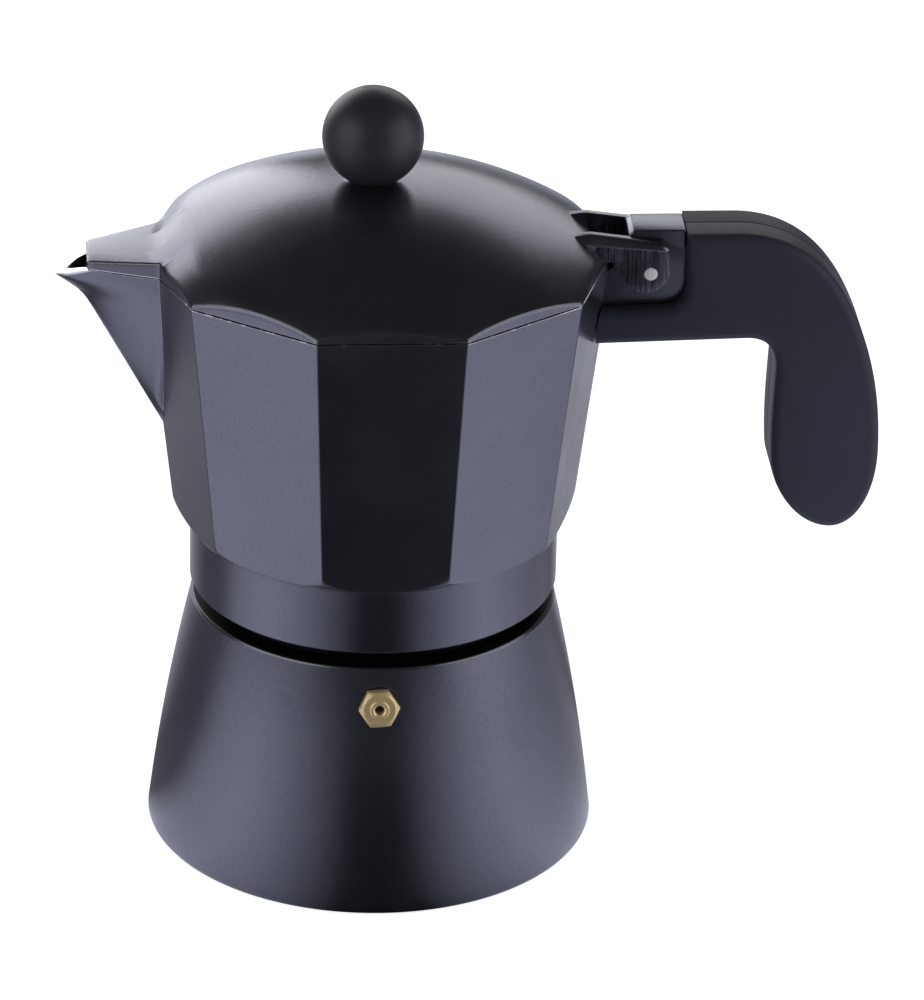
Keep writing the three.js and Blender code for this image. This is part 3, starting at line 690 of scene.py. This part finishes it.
# under the arm, round the hook, up over the back and along the top, and down the hinge notch
def gripOutline():
    g = gripSpec
    under, top, shelf = g["underZ"], g["topZ"], g["shelfZ"]
    arm, wall, topX = g["armX"], g["wallX"], g["topX"]
    pts = [(arm + (g["bendX"] - arm) * i / 24, under - 0.2 + 0.9 * i / 24) for i in range(25)]
    pts += bezier(pts[-1], (78.4, under + 0.8), (80.4, 106.6), (80.2, 101.5), 16)
    pts += bezier(pts[-1], (79.9, 94), (79.7, 88), (80.2, 81.5), 18)
    pts += bezier(pts[-1], (80.8, 75.4), (86, 66.9), (93, 66.9), 20)
    pts += bezier(pts[-1], (98.6, 67.1), (102.1, 74.6), (102.1, 83.5), 20)
    pts += bezier(pts[-1], (102.1, 98.5), (98.4, 109.9), (93.8, 118.2), 26)
    pts += bezier(pts[-1], (88.4, 127.6), (80.8, top), (topX, top), 24)
    pts += [(topX + (wall - topX) * i / 10, top) for i in range(1, 10)]
    pts += [(wall, top)]
    pts += [(wall, top + (shelf + 5 - top) * i / 10) for i in range(1, 11)]
    corner = pts[-1]
    for i in range(1, 13):
        t = i / 12
        pts.append(((1 - t) ** 2 * corner[0] + 2 * t * (1 - t) * wall + t * t * (wall - 5),
                    (1 - t) ** 2 * corner[1] + 2 * t * (1 - t) * (shelf + 0.3) + t * t * (shelf + 0.2)))
    pts += [(wall - 5 + (arm - wall + 5) * i / 16, shelf + 0.2 - 0.4 * i / 16) for i in range(1, 17)]
    return pts


# the outline moved inwards; points that would come too near another side slide along to a good one
def insetLoop(points, distance):
    loop = np.array(points)
    ahead, behind = np.roll(loop, -1, 0) - loop, loop - np.roll(loop, 1, 0)
    normals = []
    for step in (behind, ahead):
        step = step / np.linalg.norm(step, axis=1)[:, None]
        normals.append(np.stack((-step[:, 1], step[:, 0]), 1))
    middle = normals[0] + normals[1]
    middle /= np.maximum((middle * normals[0]).sum(1), 0.35)[:, None]
    moved = loop + middle * distance
    along = ((moved[:, None] - loop) * ahead).sum(2) / (ahead ** 2).sum(1)
    nearest = loop + np.clip(along, 0, 1)[..., None] * ahead
    good = np.linalg.norm(moved[:, None] - nearest, axis=2).min(1) > distance * 0.985
    index = np.arange(len(loop))
    for i in index[~good]:
        gap = np.abs(index - i)
        gap = np.minimum(gap, len(loop) - gap) + 1e6 * ~good
        index[i] = gap.argmin()
    return [tuple(p) for p in moved[index]]


def makeHandle():
    g = gripSpec
    line = gripOutline()
    half, edge = g["half"], g["edge"]
    layers = []
    for i in range(9):
        a = i / 8 * 90 * deg
        layers.append((half - edge + edge * math.sin(a), edge * (1 - math.cos(a))))
    layers = layers[::-1]
    seam = [(0.3, 0.0), (0.14, 0.02), (0.07, g["seamDepth"]), (0, g["seamDepth"] * 1.25)]
    side = layers + [(3.4, 0.0)] + seam
    full = [(-y, d) for y, d in side] + [(y, d) for y, d in side[-2::-1]]
    rows = []
    for y, inset in full:
        loop = insetLoop(line, inset) if inset else line
        rows.append([(x, y, z) for x, z in loop])
    piece = skin("handleGrip", rows, capEnds=True, sharpAngle=g["crease"])
    socketHalf, gap = g["socketHalf"], g["socketGap"]
    nose = [(x + gap, z + (gap if z > 120 else -gap)) for x, z in tongue]
    socketLine = [(30, 113.2 - gap)] + nose + [(60.5, 129 + gap), (60.5, 118 + gap), (30, 118 + gap)]
    bodyRows = [ringAt(lambda a: tenSided(a, chamberR(z) + g["bodyGap"]), z) for z in (98, 134)]
    for tool in (plateXZ("socket", socketLine, -socketHalf, socketHalf),
                 box("lugWay", (30, -socketHalf, 112.95), (61.35, socketHalf, 140)),
                 skin("bodyWay", bodyRows, capEnds=True),
                 rodAlong("screwWay", g["screwWayR"], (screwX, 0, 100), (screwX, 0, 117)),
                 rodAlong("headWay", g["headWayR"], (screwX, 0, 100), (screwX, 0, g["headWayZ"]))):
        combine(piece, tool, "DIFFERENCE", g["crease"])
    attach(piece, "collector")
    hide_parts("handle")
    return piece


valveSpec = {"acrossFlats": 7.2, "backZ": 0.6, "frontZ": 2.8, "chamfer": 0.75, "ringR": 2.05,
             "ringHigh": 0.35, "holeR": 0.95, "shankR": 2.9, "shankEnd": -6.6, "boreR": 2.0, "roll": 4,
             "crease": 25}


# made upright about Z, then turned to stand out from the boiler's wall
def makeValveBody():
    s = valveSpec
    hexR = s["acrossFlats"] / 2 / math.cos(30 * deg)
    front, ringR, holeR = s["frontZ"], s["ringR"], s["holeR"]
    shankR, end, boreR = s["shankR"], s["shankEnd"], s["boreR"]
    hexRows = []
    for z in (s["backZ"], front):
        hexRows.append([(hexR * math.cos(60 * k * deg), hexR * math.sin(60 * k * deg), z) for k in range(6)])
    piece = skin("valveHex", hexRows, capEnds=True, sharpAngle=s["crease"])
    cone = [(0, 0), (hexR + 0.2, 0), (hexR + 0.2, front - s["chamfer"]), (hexR - 1.0, front), (0, front)]
    ring = [(0, front - 0.5), (ringR, front - 0.5), (ringR, front), (ringR - 0.1, front + 0.22),
            (ringR - 0.3, front + s["ringHigh"]), (1.35, front + s["ringHigh"]), (1.12, front + 0.22),
            (holeR, front + 0.05), (0, front + 0.05)]
    shank = [(0, end), (shankR - 0.3, end), (shankR, end + 0.3), (shankR, 0.8), (0, 0.8)]
    bore = [(0, -8), (boreR, -8), (boreR, 1.2), (holeR, 1.25), (holeR, 5), (0, 5)]
    for name, profile, steps, operation in (
            ("valveChamfer", cone, 96, "INTERSECT"), ("valveRing", ring, 64, "UNION"),
            ("valveShank", shank, 64, "UNION"), ("valveBore", bore, 48, "DIFFERENCE")):
        combine(piece, turned(name, profile, steps), operation, s["crease"])
    centre, axis = valvePlace()
    turn = Vector((0, 0, 1)).rotation_difference(axis).to_matrix().to_4x4()
    roll = Matrix.Rotation(s["roll"] * deg, 4, axis)
    place = Matrix.Translation(centre * mm) @ roll @ turn
    piece.data.transform(place)
    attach(piece, "boiler")
    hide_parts("valve_body")
    return piece


boilerPiece, neckRidge = makeBoiler()
print("boiler made")
valvePiece = makeValveBody()
print("valve made")
collectorPiece, collarRidge = makeCollector()
print("upper chamber made")
lidPiece = makeLid()
print("lid made")
knobPiece = makeKnob()
pinPiece = makePin()
handlePiece = makeHandle()
print("knob, pin and handle made")


# looks

def newGroup(name, inputs, outputs):
    group = bpy.data.node_groups.new(name, "ShaderNodeTree")
    for label, value in inputs:
        socket = group.interface.new_socket(label, in_out="INPUT", socket_type="NodeSocketFloat")
        socket.default_value = value
    for label in outputs:
        group.interface.new_socket(label, in_out="OUTPUT", socket_type="NodeSocketFloat")
    return group, group.nodes.new("NodeGroupInput"), group.nodes.new("NodeGroupOutput")


def mathNode(tree, operation, first, second=None, clamp=False):
    node = tree.nodes.new("ShaderNodeMath")
    node.operation = operation
    node.use_clamp = clamp
    for socket, value in zip(node.inputs, (first, second)):
        if value is None:
            continue
        if isinstance(value, (int, float)):
            socket.default_value = value
        else:
            tree.links.new(value, socket)
    return node.outputs[0]


def remap(tree, value, low, high, toLow=0.0, toHigh=1.0):
    node = tree.nodes.new("ShaderNodeMapRange")
    tree.links.new(value, node.inputs["Value"])
    node.inputs["From Min"].default_value = low
    node.inputs["From Max"].default_value = high
    node.inputs["To Min"].default_value = toLow
    node.inputs["To Max"].default_value = toHigh
    return node.outputs[0]


def noise(tree, scale, detail=2.0, place=None):
    node = tree.nodes.new("ShaderNodeTexNoise")
    if isinstance(scale, (int, float)):
        node.inputs["Scale"].default_value = scale
    else:
        tree.links.new(scale, node.inputs["Scale"])
    node.inputs["Detail"].default_value = detail
    if place is None:
        place = tree.nodes.new("ShaderNodeTexCoord").outputs["Object"]
    tree.links.new(place, node.inputs["Vector"])
    return node.outputs["Fac"]


# the object's own coordinates, in metres, as are the limits of every zone below
def placeXYZ(tree):
    coord = tree.nodes.new("ShaderNodeTexCoord").outputs["Object"]
    split = tree.nodes.new("ShaderNodeSeparateXYZ")
    tree.links.new(coord, split.inputs[0])
    return split.outputs


def radiusNode(tree, x, y):
    squares = [mathNode(tree, "MULTIPLY", value, value) for value in (x, y)]
    return mathNode(tree, "SQRT", mathNode(tree, "ADD", *squares))


# where an edge is worn: compares the true normal with a rounded one
def makeEdgeWear():
    group, given, result = newGroup("edgeWear", [("Width", 0.0004), ("Breakup", 900.0)], ["Edge"])
    bevel = group.nodes.new("ShaderNodeBevel")
    bevel.samples = 4
    group.links.new(given.outputs["Width"], bevel.inputs["Radius"])
    geometry = group.nodes.new("ShaderNodeNewGeometry")
    dot = group.nodes.new("ShaderNodeVectorMath")
    dot.operation = "DOT_PRODUCT"
    group.links.new(bevel.outputs[0], dot.inputs[0])
    group.links.new(geometry.outputs["Normal"], dot.inputs[1])
    bend = remap(group, dot.outputs["Value"], 0.995, 0.85)
    patchy = remap(group, noise(group, given.outputs["Breakup"], 3), 0.38, 0.6, 0.55, 1.0)
    group.links.new(mathNode(group, "MULTIPLY", bend, patchy, True), result.inputs["Edge"])
    return group


# fine pebbled surface of a coated casting or a moulded part
def makeFineGrain():
    settings = [("Scale", 2500.0), ("Patches", 60.0)]
    group, given, result = newGroup("fineGrain", settings, ["Height", "Shade", "Cloud"])
    pebble = noise(group, given.outputs["Scale"], 3)
    coarse = noise(group, mathNode(group, "MULTIPLY", given.outputs["Scale"], 0.31), 2)
    height = mathNode(group, "ADD", pebble, mathNode(group, "MULTIPLY", coarse, 0.8))
    group.links.new(height, result.inputs["Height"])
    group.links.new(remap(group, pebble, 0.3, 0.7), result.inputs["Shade"])
    cloud = remap(group, noise(group, given.outputs["Patches"], 4), 0.35, 0.65)
    group.links.new(cloud, result.inputs["Cloud"])
    return group


# circular marks left by a lathe tool round the Z axis
def makeTurningMarks():
    group, given, result = newGroup("turningMarks", [("Pitch", 9000.0)], ["Height", "Shade"])
    x, y, z = placeXYZ(group)
    radius = radiusNode(group, x, y)
    join = group.nodes.new("ShaderNodeCombineXYZ")
    group.links.new(radius, join.inputs[0])
    group.links.new(z, join.inputs[2])
    marks = noise(group, given.outputs["Pitch"], 2, join.outputs[0])
    group.links.new(marks, result.inputs["Height"])
    group.links.new(remap(group, marks, 0.35, 0.65), result.inputs["Shade"])
    return group


edgeWear = makeEdgeWear()
fineGrain = makeFineGrain()
turningMarks = makeTurningMarks()


def useGroup(tree, group, **values):
    node = tree.nodes.new("ShaderNodeGroup")
    node.node_tree = group
    for label, value in values.items():
        node.inputs[label].default_value = value
    return node.outputs


def mixColour(tree, fac, first, second):
    node = tree.nodes.new("ShaderNodeMix")
    node.data_type = "RGBA"
    tree.links.new(fac, node.inputs[0])
    for socket, value in ((node.inputs[6], first), (node.inputs[7], second)):
        if isinstance(value, tuple):
            socket.default_value = (*value, 1.0)
        else:
            tree.links.new(value, socket)
    return node.outputs[2]


def share(tree, value, part):
    return mathNode(tree, "MULTIPLY", value, part)


def newMaterial(name):
    material = bpy.data.materials.new(name)
    material.use_nodes = True
    tree = material.node_tree
    return material, tree, tree.nodes["Principled BSDF"]


def bump(tree, shader, height, distance, strength):
    node = tree.nodes.new("ShaderNodeBump")
    node.inputs["Strength"].default_value = strength
    node.inputs["Distance"].default_value = distance
    tree.links.new(height, node.inputs["Height"])
    tree.links.new(node.outputs[0], shader.inputs["Normal"])


coatLook = {"colour": (0.12, 0.124, 0.156), "cloudColour": (0.136, 0.14, 0.172),
            "grainColour": (0.3, 0.3, 0.33), "wornColour": (0.62, 0.63, 0.68), "bareDark": (0.62, 0.63, 0.65),
            "bareLight": (0.78, 0.79, 0.8),
            "paintedShadeAndDarkCheekColour": (0.012, 0.012, 0.015), "grainShare": 0.16, "wornShare": 0.55, "roughness": 0.25,
            "metallic": 0.9, "grain": 2300.0, "patches": 45.0, "grainDepth": 0.00002, "bumpStrength": 0.8,
            "wornWidth": 0.0003, "wornBreakup": 700.0, "toolPitch": 7000.0}


# satin coating on cast aluminium; bareZones masks the uncoated metal; the second zone mask gives painted
# shade in the recesses by the collar, and the lid's dark milled cheeks
def coatedMaterial(name, bareZones, paintedShadeAndDarkCheekZones):
    look = coatLook
    material, tree, shader = newMaterial(name)
    grain = useGroup(tree, fineGrain, Scale=look["grain"], Patches=look["patches"])
    wear = useGroup(tree, edgeWear, Width=look["wornWidth"], Breakup=look["wornBreakup"])
    colour = mixColour(tree, grain["Cloud"], look["colour"], look["cloudColour"])
    colour = mixColour(tree, share(tree, grain["Shade"], look["grainShare"]), colour, look["grainColour"])
    colour = mixColour(tree, share(tree, wear["Edge"], look["wornShare"]), colour, look["wornColour"])
    rough = remap(tree, grain["Cloud"], 0, 1, look["roughness"] - 0.03, look["roughness"] + 0.04)
    mask = bareZones(tree)
    marks = useGroup(tree, turningMarks, Pitch=look["toolPitch"])
    bare = mixColour(tree, marks["Shade"], look["bareDark"], look["bareLight"])
    colour = mixColour(tree, mask, colour, bare)
    rough = mathNode(tree, "SUBTRACT", rough, share(tree, mask, 0.06))
    # painted shade: near-black colour and more roughness where the collar's recesses fall in shadow; on the
    # lid the same mix gives the cheeks' dark streaks
    mask = paintedShadeAndDarkCheekZones(tree)
    colour = mixColour(tree, mask, colour, look["paintedShadeAndDarkCheekColour"])
    rough = mathNode(tree, "ADD", rough, share(tree, mask, 0.3))
    tree.links.new(colour, shader.inputs["Base Color"])
    tree.links.new(rough, shader.inputs["Roughness"])
    shader.inputs["Metallic"].default_value = look["metallic"]
    bump(tree, shader, grain["Height"], look["grainDepth"], look["bumpStrength"])
    return material


def above(tree, value, limit, soft):
    return remap(tree, value, limit - soft, limit + soft)


def below(tree, value, limit, soft):
    return remap(tree, value, limit + soft, limit - soft)


def both(tree, *masks):
    out = masks[0]
    for mask in masks[1:]:
        out = mathNode(tree, "MULTIPLY", out, mask)
    return out


def either(tree, *masks):
    out = masks[0]
    for mask in masks[1:]:
        out = mathNode(tree, "MAXIMUM", out, mask)
    return out


# uncoated parts of the upper chamber: its floor, its rim, the pouring edge and the collar's inside
def chamberBare(tree):
    x, y, z = placeXYZ(tree)
    radius = radiusNode(tree, x, y)
    slope = remap(tree, z, 0.0756, 0.1263, 0.0364, 0.0422)
    inside = both(tree, mathNode(tree, "LESS_THAN", radius, slope), above(tree, z, 0.0735, 0.0002))
    # the rim shows bare metal in broken dashes, more of it beside the hinge
    dashes = remap(tree, noise(tree, 620.0, 3.0), 0.54, 0.66, 0.0, 0.8)
    dashes = either(tree, dashes, above(tree, x, 0.036, 0.003))
    rim = both(tree, above(tree, z, 0.12612, 0.00006), below(tree, z, 0.1266, 0.0001),
               below(tree, radius, 0.0485, 0.0001), dashes)
    collarInside = both(tree, mathNode(tree, "LESS_THAN", radius, 0.0345), below(tree, z, 0.074, 0.0002))
    lipLine = remap(tree, x, -0.0655, -0.0575, 0.1222, 0.1259)
    overLine = mathNode(tree, "SUBTRACT", z, lipLine)
    lip = both(tree, below(tree, x, -0.0572, 0.0004), above(tree, overLine, -0.0009, 0.0003))
    return either(tree, inside, rim, collarInside, lip)


# painted shade: the collar's underside darkened as if in shadow
def chamberPaintedShade(tree):
    x, y, z = placeXYZ(tree)
    return both(tree, below(tree, z, 0.0556, 0.0002), below(tree, radiusNode(tree, x, y), 0.0373, 0.0001))


# painted shade in the recess between the boiler's shoulder and the collar
def boilerPaintedShade(tree):
    x, y, z = placeXYZ(tree)
    return both(tree, above(tree, z, 0.0514, 0.0002), below(tree, z, 0.0572, 0.0003),
                below(tree, radiusNode(tree, x, y), 0.0369, 0.0002))


# the milled cheeks under the lid's ribs, darker, with upright tool streaks
def lidSoot(tree):
    x, y, z = placeXYZ(tree)
    side = mathNode(tree, "ABSOLUTE", y)
    cheek = both(tree, above(tree, x, 0.0448, 0.0003), above(tree, side, 0.0046, 0.0001),
                 below(tree, side, 0.00702, 0.00006), below(tree, z, 0.1302, 0.0003))
    spread = tree.nodes.new("ShaderNodeMapping")
    tree.links.new(tree.nodes.new("ShaderNodeTexCoord").outputs["Object"], spread.inputs["Vector"])
    spread.inputs["Scale"].default_value = (2600.0, 200.0, 120.0)
    streaks = remap(tree, noise(tree, 1.0, 3.0, spread.outputs[0]), 0.4, 0.66, 0.85, 0.0)
    return both(tree, cheek, streaks)


# uncoated inside of the boiler, and its neck above the recess
def boilerBare(tree):
    x, y, z = placeXYZ(tree)
    radius = radiusNode(tree, x, y)
    wallLine = remap(tree, z, 0.003, 0.0516, 0.0442, 0.0362)
    inside = both(tree, mathNode(tree, "LESS_THAN", radius, wallLine), above(tree, z, 0.002, 0.0002))
    neck = above(tree, z, 0.0575, 0.0002)
    return either(tree, inside, neck)


# uncoated underside of the lid, up to the ears, picked out by its facing down in the closed pose
def lidBare(tree):
    x, y, z = placeXYZ(tree)
    geometry = tree.nodes.new("ShaderNodeNewGeometry")
    split = tree.nodes.new("ShaderNodeSeparateXYZ")
    tree.links.new(geometry.outputs["True Normal"], split.inputs[0])
    return both(tree, below(tree, split.outputs[2], -0.3, 0.05), below(tree, x, 0.043, 0.0002))


# each look's colours run from the marks' two shades to the clouding and the worn edges
metalLooks = {
    "bareAluminium": {"colours": ((0.62, 0.63, 0.65), (0.76, 0.77, 0.78), (0.55, 0.56, 0.58),
                                  (0.9, 0.9, 0.92)),
                      "roughness": 0.33, "pitch": 6000.0, "depth": 0.00001, "metallic": 1.0},
    "turnedBrass": {"colours": ((1, 0.72, 0.33), (1, 0.84, 0.5), (0.52, 0.32, 0.12), (1, 0.97, 0.82)),
                    "roughness": 0.25, "pitch": 5000.0, "depth": 0.000014, "metallic": 0.35},
    "brightSteel": {"colours": ((0.66, 0.66, 0.68), (0.8, 0.8, 0.82), (0.58, 0.58, 0.6), (0.95, 0.95, 0.96)),
                    "roughness": 0.2, "pitch": 8000.0, "depth": 0.000005, "metallic": 1.0},
    # painted glint: the steel pin is given a near-white, hardly metallic colour to stand for its bright
    # reflection
    "pinPaintedGlint": {"colours": ((0.95, 0.95, 0.96), (0.98, 0.98, 0.99), (0.84, 0.84, 0.86), (1, 1, 1)),
                    "roughness": 0.25, "pitch": 8000.0, "depth": 0.000004, "metallic": 0.05}}


def metalMaterial(name):
    look = metalLooks[name]
    colours, roughness = look["colours"], look["roughness"]
    material, tree, shader = newMaterial(name)
    marks = useGroup(tree, turningMarks, Pitch=look["pitch"])
    wear = useGroup(tree, edgeWear, Width=0.0002, Breakup=900.0)
    cloud = useGroup(tree, fineGrain, Scale=3000.0, Patches=120.0)
    colour = mixColour(tree, marks["Shade"], *colours[:2])
    colour = mixColour(tree, share(tree, cloud["Cloud"], 0.35), colour, colours[2])
    colour = mixColour(tree, share(tree, wear["Edge"], 0.6), colour, colours[3])
    tree.links.new(colour, shader.inputs["Base Color"])
    rough = remap(tree, cloud["Cloud"], 0, 1, roughness - 0.05, roughness + 0.07)
    tree.links.new(rough, shader.inputs["Roughness"])
    shader.inputs["Metallic"].default_value = look["metallic"]
    bump(tree, shader, marks["Height"], look["depth"], 0.7)
    return material


# each look's colours run from the clouding's two shades to the grain and the worn edges
mouldedLooks = {
    "softTouchHandle": {"colours": ((0.031, 0.031, 0.052), (0.037, 0.037, 0.06), (0.05, 0.05, 0.074),
                                    (0.08, 0.08, 0.105)),
                        "roughness": 0.52, "grain": 2600.0, "depth": 0.000012, "specular": 0.3},
    "mattKnob": {"colours": ((0.033, 0.033, 0.045), (0.039, 0.039, 0.052), (0.045, 0.045, 0.058),
                             (0.06, 0.06, 0.072)),
                 "roughness": 0.42, "grain": 3200.0, "depth": 0.000009, "specular": 0.45},
    "whiteSilicone": {"colours": ((0.72, 0.72, 0.7), (0.78, 0.78, 0.76), (0.66, 0.66, 0.64),
                                  (0.82, 0.82, 0.8)),
                      "roughness": 0.55, "grain": 1800.0, "depth": 0.00001, "specular": 0.45},
    "darkFibre": {"colours": ((0.035, 0.02, 0.018), (0.045, 0.026, 0.022), (0.028, 0.016, 0.014),
                              (0.08, 0.05, 0.04)),
                  "roughness": 0.7, "grain": 2200.0, "depth": 0.00003, "specular": 0.45}}


def mouldedMaterial(name):
    look = mouldedLooks[name]
    colours, roughness = look["colours"], look["roughness"]
    material, tree, shader = newMaterial(name)
    grain = useGroup(tree, fineGrain, Scale=look["grain"], Patches=55.0)
    wear = useGroup(tree, edgeWear, Width=0.0006, Breakup=500.0)
    colour = mixColour(tree, grain["Cloud"], colours[0], colours[1])
    colour = mixColour(tree, share(tree, grain["Shade"], 0.3), colour, colours[2])
    colour = mixColour(tree, share(tree, wear["Edge"], 0.35), colour, colours[3])
    tree.links.new(colour, shader.inputs["Base Color"])
    rough = remap(tree, grain["Shade"], 0, 1, roughness - 0.04, roughness + 0.05)
    tree.links.new(rough, shader.inputs["Roughness"])
    shader.inputs["Specular IOR Level"].default_value = look["specular"]
    bump(tree, shader, grain["Height"], look["depth"], 0.8)
    return material


chamberLook = coatedMaterial("coatedChamber", chamberBare, chamberPaintedShade)
boilerLook = coatedMaterial("coatedBoiler", boilerBare, boilerPaintedShade)
lidLook = coatedMaterial("coatedLid", lidBare, lidSoot)
bareLook, brassLook, steelLook, pinGlintLook = [metalMaterial(name) for name in metalLooks]
handleLook, knobLook, siliconeLook, fibreLook = [mouldedMaterial(name) for name in mouldedLooks]


def dress(piece, material):
    piece.data.materials.clear()
    piece.data.materials.append(material)


for piece, material in ((boilerPiece, boilerLook), (neckRidge, bareLook), (valvePiece, brassLook),
                        (collectorPiece, chamberLook), (collarRidge, bareLook), (lidPiece, lidLook),
                        (knobPiece, knobLook), (pinPiece, pinGlintLook), (handlePiece, handleLook)):
    dress(piece, material)

# the hidden parts keep their own shapes and are dressed by their material slot
slotLooks = {"coated_dark": boilerLook, "bare_aluminium": bareLook, "brass": brassLook, "steel": steelLook,
             "fibre": fibreLook, "silicone": siliconeLook, "handle_plastic": handleLook,
             "knob_plastic": knobLook}
rebuilt = ("boiler", "valve_body", "collector", "lid", "knob", "hinge_pin", "handle")
for part in frame["record"]["subparts"]:
    node = part["node"]
    if node not in rebuilt:
        smoothPiece(nodes[node])
        dress(nodes[node], slotLooks[part["material_slot"]])
print("looks made")


# floor, light and camera

studio = {"paper": (0.9, 0.9, 0.9), "paperCloud": (0.93, 0.93, 0.93), "paperGlow": 0.82, "worldBright": 1.0,
          "worldDim": 0.042, "farGlow": 0.1, "glowColour": (0.96, 0.98, 1.14),
          "glow": ((-180, 0.8), (-165, 0.95), (-150, 0.55), (-138, 0.38), (-122, 0.14), (-100, 0.16),
                   (-85, 0.86), (-63, 1.12), (-42, 0.75), (-24, 0.32), (-12, 0.03), (0, 0.01), (12, 0.03),
                   (24, 0.32), (42, 0.75), (61, 1.1), (84, 0.78), (105, 0.45), (118, 0.42), (130, 0.15),
                   (148, 0.78), (163, 0.45), (180, 0.8))}


# white paper to the camera; what the object mirrors is bright at its sides and back, and dark in front
def makeStage():
    floor = box("studioFloor", (-4000, -3000, -4), (4000, 5000, 0))
    material, tree, shader = newMaterial("studioPaper")
    x, y, z = placeXYZ(tree)
    # the glow by direction from the pot, in degrees from the front, with the handle side positive
    facing = mathNode(tree, "ARCTAN2", x, mathNode(tree, "MULTIPLY", y, -1))
    ramp = tree.nodes.new("ShaderNodeValToRGB")
    stops = ramp.color_ramp.elements
    while len(stops) < len(studio["glow"]):
        stops.new(0.5)
    brightest = max(level for turn, level in studio["glow"])
    for stop, (turn, level) in zip(stops, studio["glow"]):
        stop.position = 0.5 + turn / 360
        stop.color = (*(level / brightest,) * 3, 1)
    tree.links.new(remap(tree, facing, -math.pi, math.pi), ramp.inputs[0])
    side = mathNode(tree, "MULTIPLY", ramp.outputs[0], brightest)
    distance = radiusNode(tree, x, y)
    side = mathNode(tree, "ADD", side, remap(tree, distance, 0.25, 0.6, 0.0, studio["farGlow"]))
    farLeft = both(tree, remap(tree, distance, 0.3, 0.9), remap(tree, x, 0.0, -0.3, 0.0, 0.75),
                   remap(tree, y, 0.6, 0.1))
    farRight = both(tree, remap(tree, distance, 0.4, 1.2), remap(tree, x, 0.0, 0.3, 0.0, 0.7))
    side = mathNode(tree, "MULTIPLY", side, mathNode(tree, "SUBTRACT", 1.0, either(tree, farLeft, farRight)))
    clouds = remap(tree, noise(tree, 3.0, 3), 0.3, 0.7)
    colour = mixColour(tree, clouds, studio["paper"], studio["paperCloud"])
    tree.links.new(colour, shader.inputs["Base Color"])
    shader.inputs["Roughness"].default_value = 0.9
    shader.inputs["Emission Color"].default_value = (1, 1, 1, 1)
    shader.inputs["Emission Strength"].default_value = studio["paperGlow"]
    mirrored = tree.nodes.new("ShaderNodeEmission")
    mirrored.inputs["Color"].default_value = (*studio["glowColour"], 1)
    tree.links.new(side, mirrored.inputs["Strength"])
    path = tree.nodes.new("ShaderNodeLightPath")
    choose = tree.nodes.new("ShaderNodeMixShader")
    tree.links.new(path.outputs["Is Camera Ray"], choose.inputs[0])
    tree.links.new(mirrored.outputs[0], choose.inputs[1])
    tree.links.new(shader.outputs[0], choose.inputs[2])
    tree.links.new(choose.outputs[0], tree.nodes["Material Output"].inputs["Surface"])
    dress(floor, material)


# bright to the camera, and dim to everything that the pot mirrors
def makeWorld():
    world = bpy.data.worlds.new("studioWorld")
    bpy.context.scene.world = world
    world.use_nodes = True
    tree = world.node_tree
    path = tree.nodes.new("ShaderNodeLightPath")
    dim, bright = (studio["worldDim"],) * 3, (studio["worldBright"],) * 3
    mix = mixColour(tree, path.outputs["Is Camera Ray"], dim, bright)
    tree.links.new(mix, tree.nodes["Background"].inputs["Color"])


# a softbox: where it stands, what it faces, its two sizes and its watts
softLights = {"leftSoftLight": ((-640, -330, 380), (0, 0, 70), (800, 600), 2.0),
              "rightSoftLight": ((660, -230, 310), (0, 0, 70), (800, 600), 1.9),
              "backLeftSoftLight": ((-400, 900, 390), (-30, 0, 110), (730, 640), 3.7),
              "backRightSoftLight": ((280, 900, 480), (-30, 0, 110), (600, 520), 1.5)}


def makeLight(name):
    place, target, size, watts = softLights[name]
    data = bpy.data.lights.new(name, "AREA")
    data.shape = "RECTANGLE"
    data.size = size[0] * mm
    data.size_y = size[1] * mm
    data.energy = watts
    lamp = bpy.data.objects.new(name, data)
    bpy.context.scene.collection.objects.link(lamp)
    lamp.location = Vector(place) * mm
    lamp.rotation_euler = (Vector(target) * mm - lamp.location).to_track_quat("-Z", "Y").to_euler()


bpy.context.scene.view_settings.view_transform = "Standard"
makeStage()
makeWorld()
for name in softLights:
    makeLight(name)


cameraSpec = {"lens": 212.55, "place": (-72.607, -1079.172, 599.727), "target": (17.968, 0, 70.778),
              "tilt": 1.451}


def makeCamera():
    data = bpy.data.cameras.new("viewCamera")
    data.sensor_fit = "AUTO"
    data.sensor_width = 36
    data.lens = cameraSpec["lens"]
    data.clip_end = 50
    camera = bpy.data.objects.new("viewCamera", data)
    bpy.context.scene.collection.objects.link(camera)
    place, target = Vector(cameraSpec["place"]), Vector(cameraSpec["target"])
    back = (place - target).normalized()
    level = Vector((0, 0, 1)).cross(back).normalized()
    up = back.cross(level)
    tilt = cameraSpec["tilt"] * deg
    right = level * math.cos(tilt) + up * math.sin(tilt)
    up = back.cross(right)
    turn = Matrix((right, up, back)).transposed()
    camera.matrix_world = Matrix.Translation(place * mm) @ turn.to_4x4()
    bpy.context.scene.camera = camera


makeCamera()
print("stage, lights and camera placed")
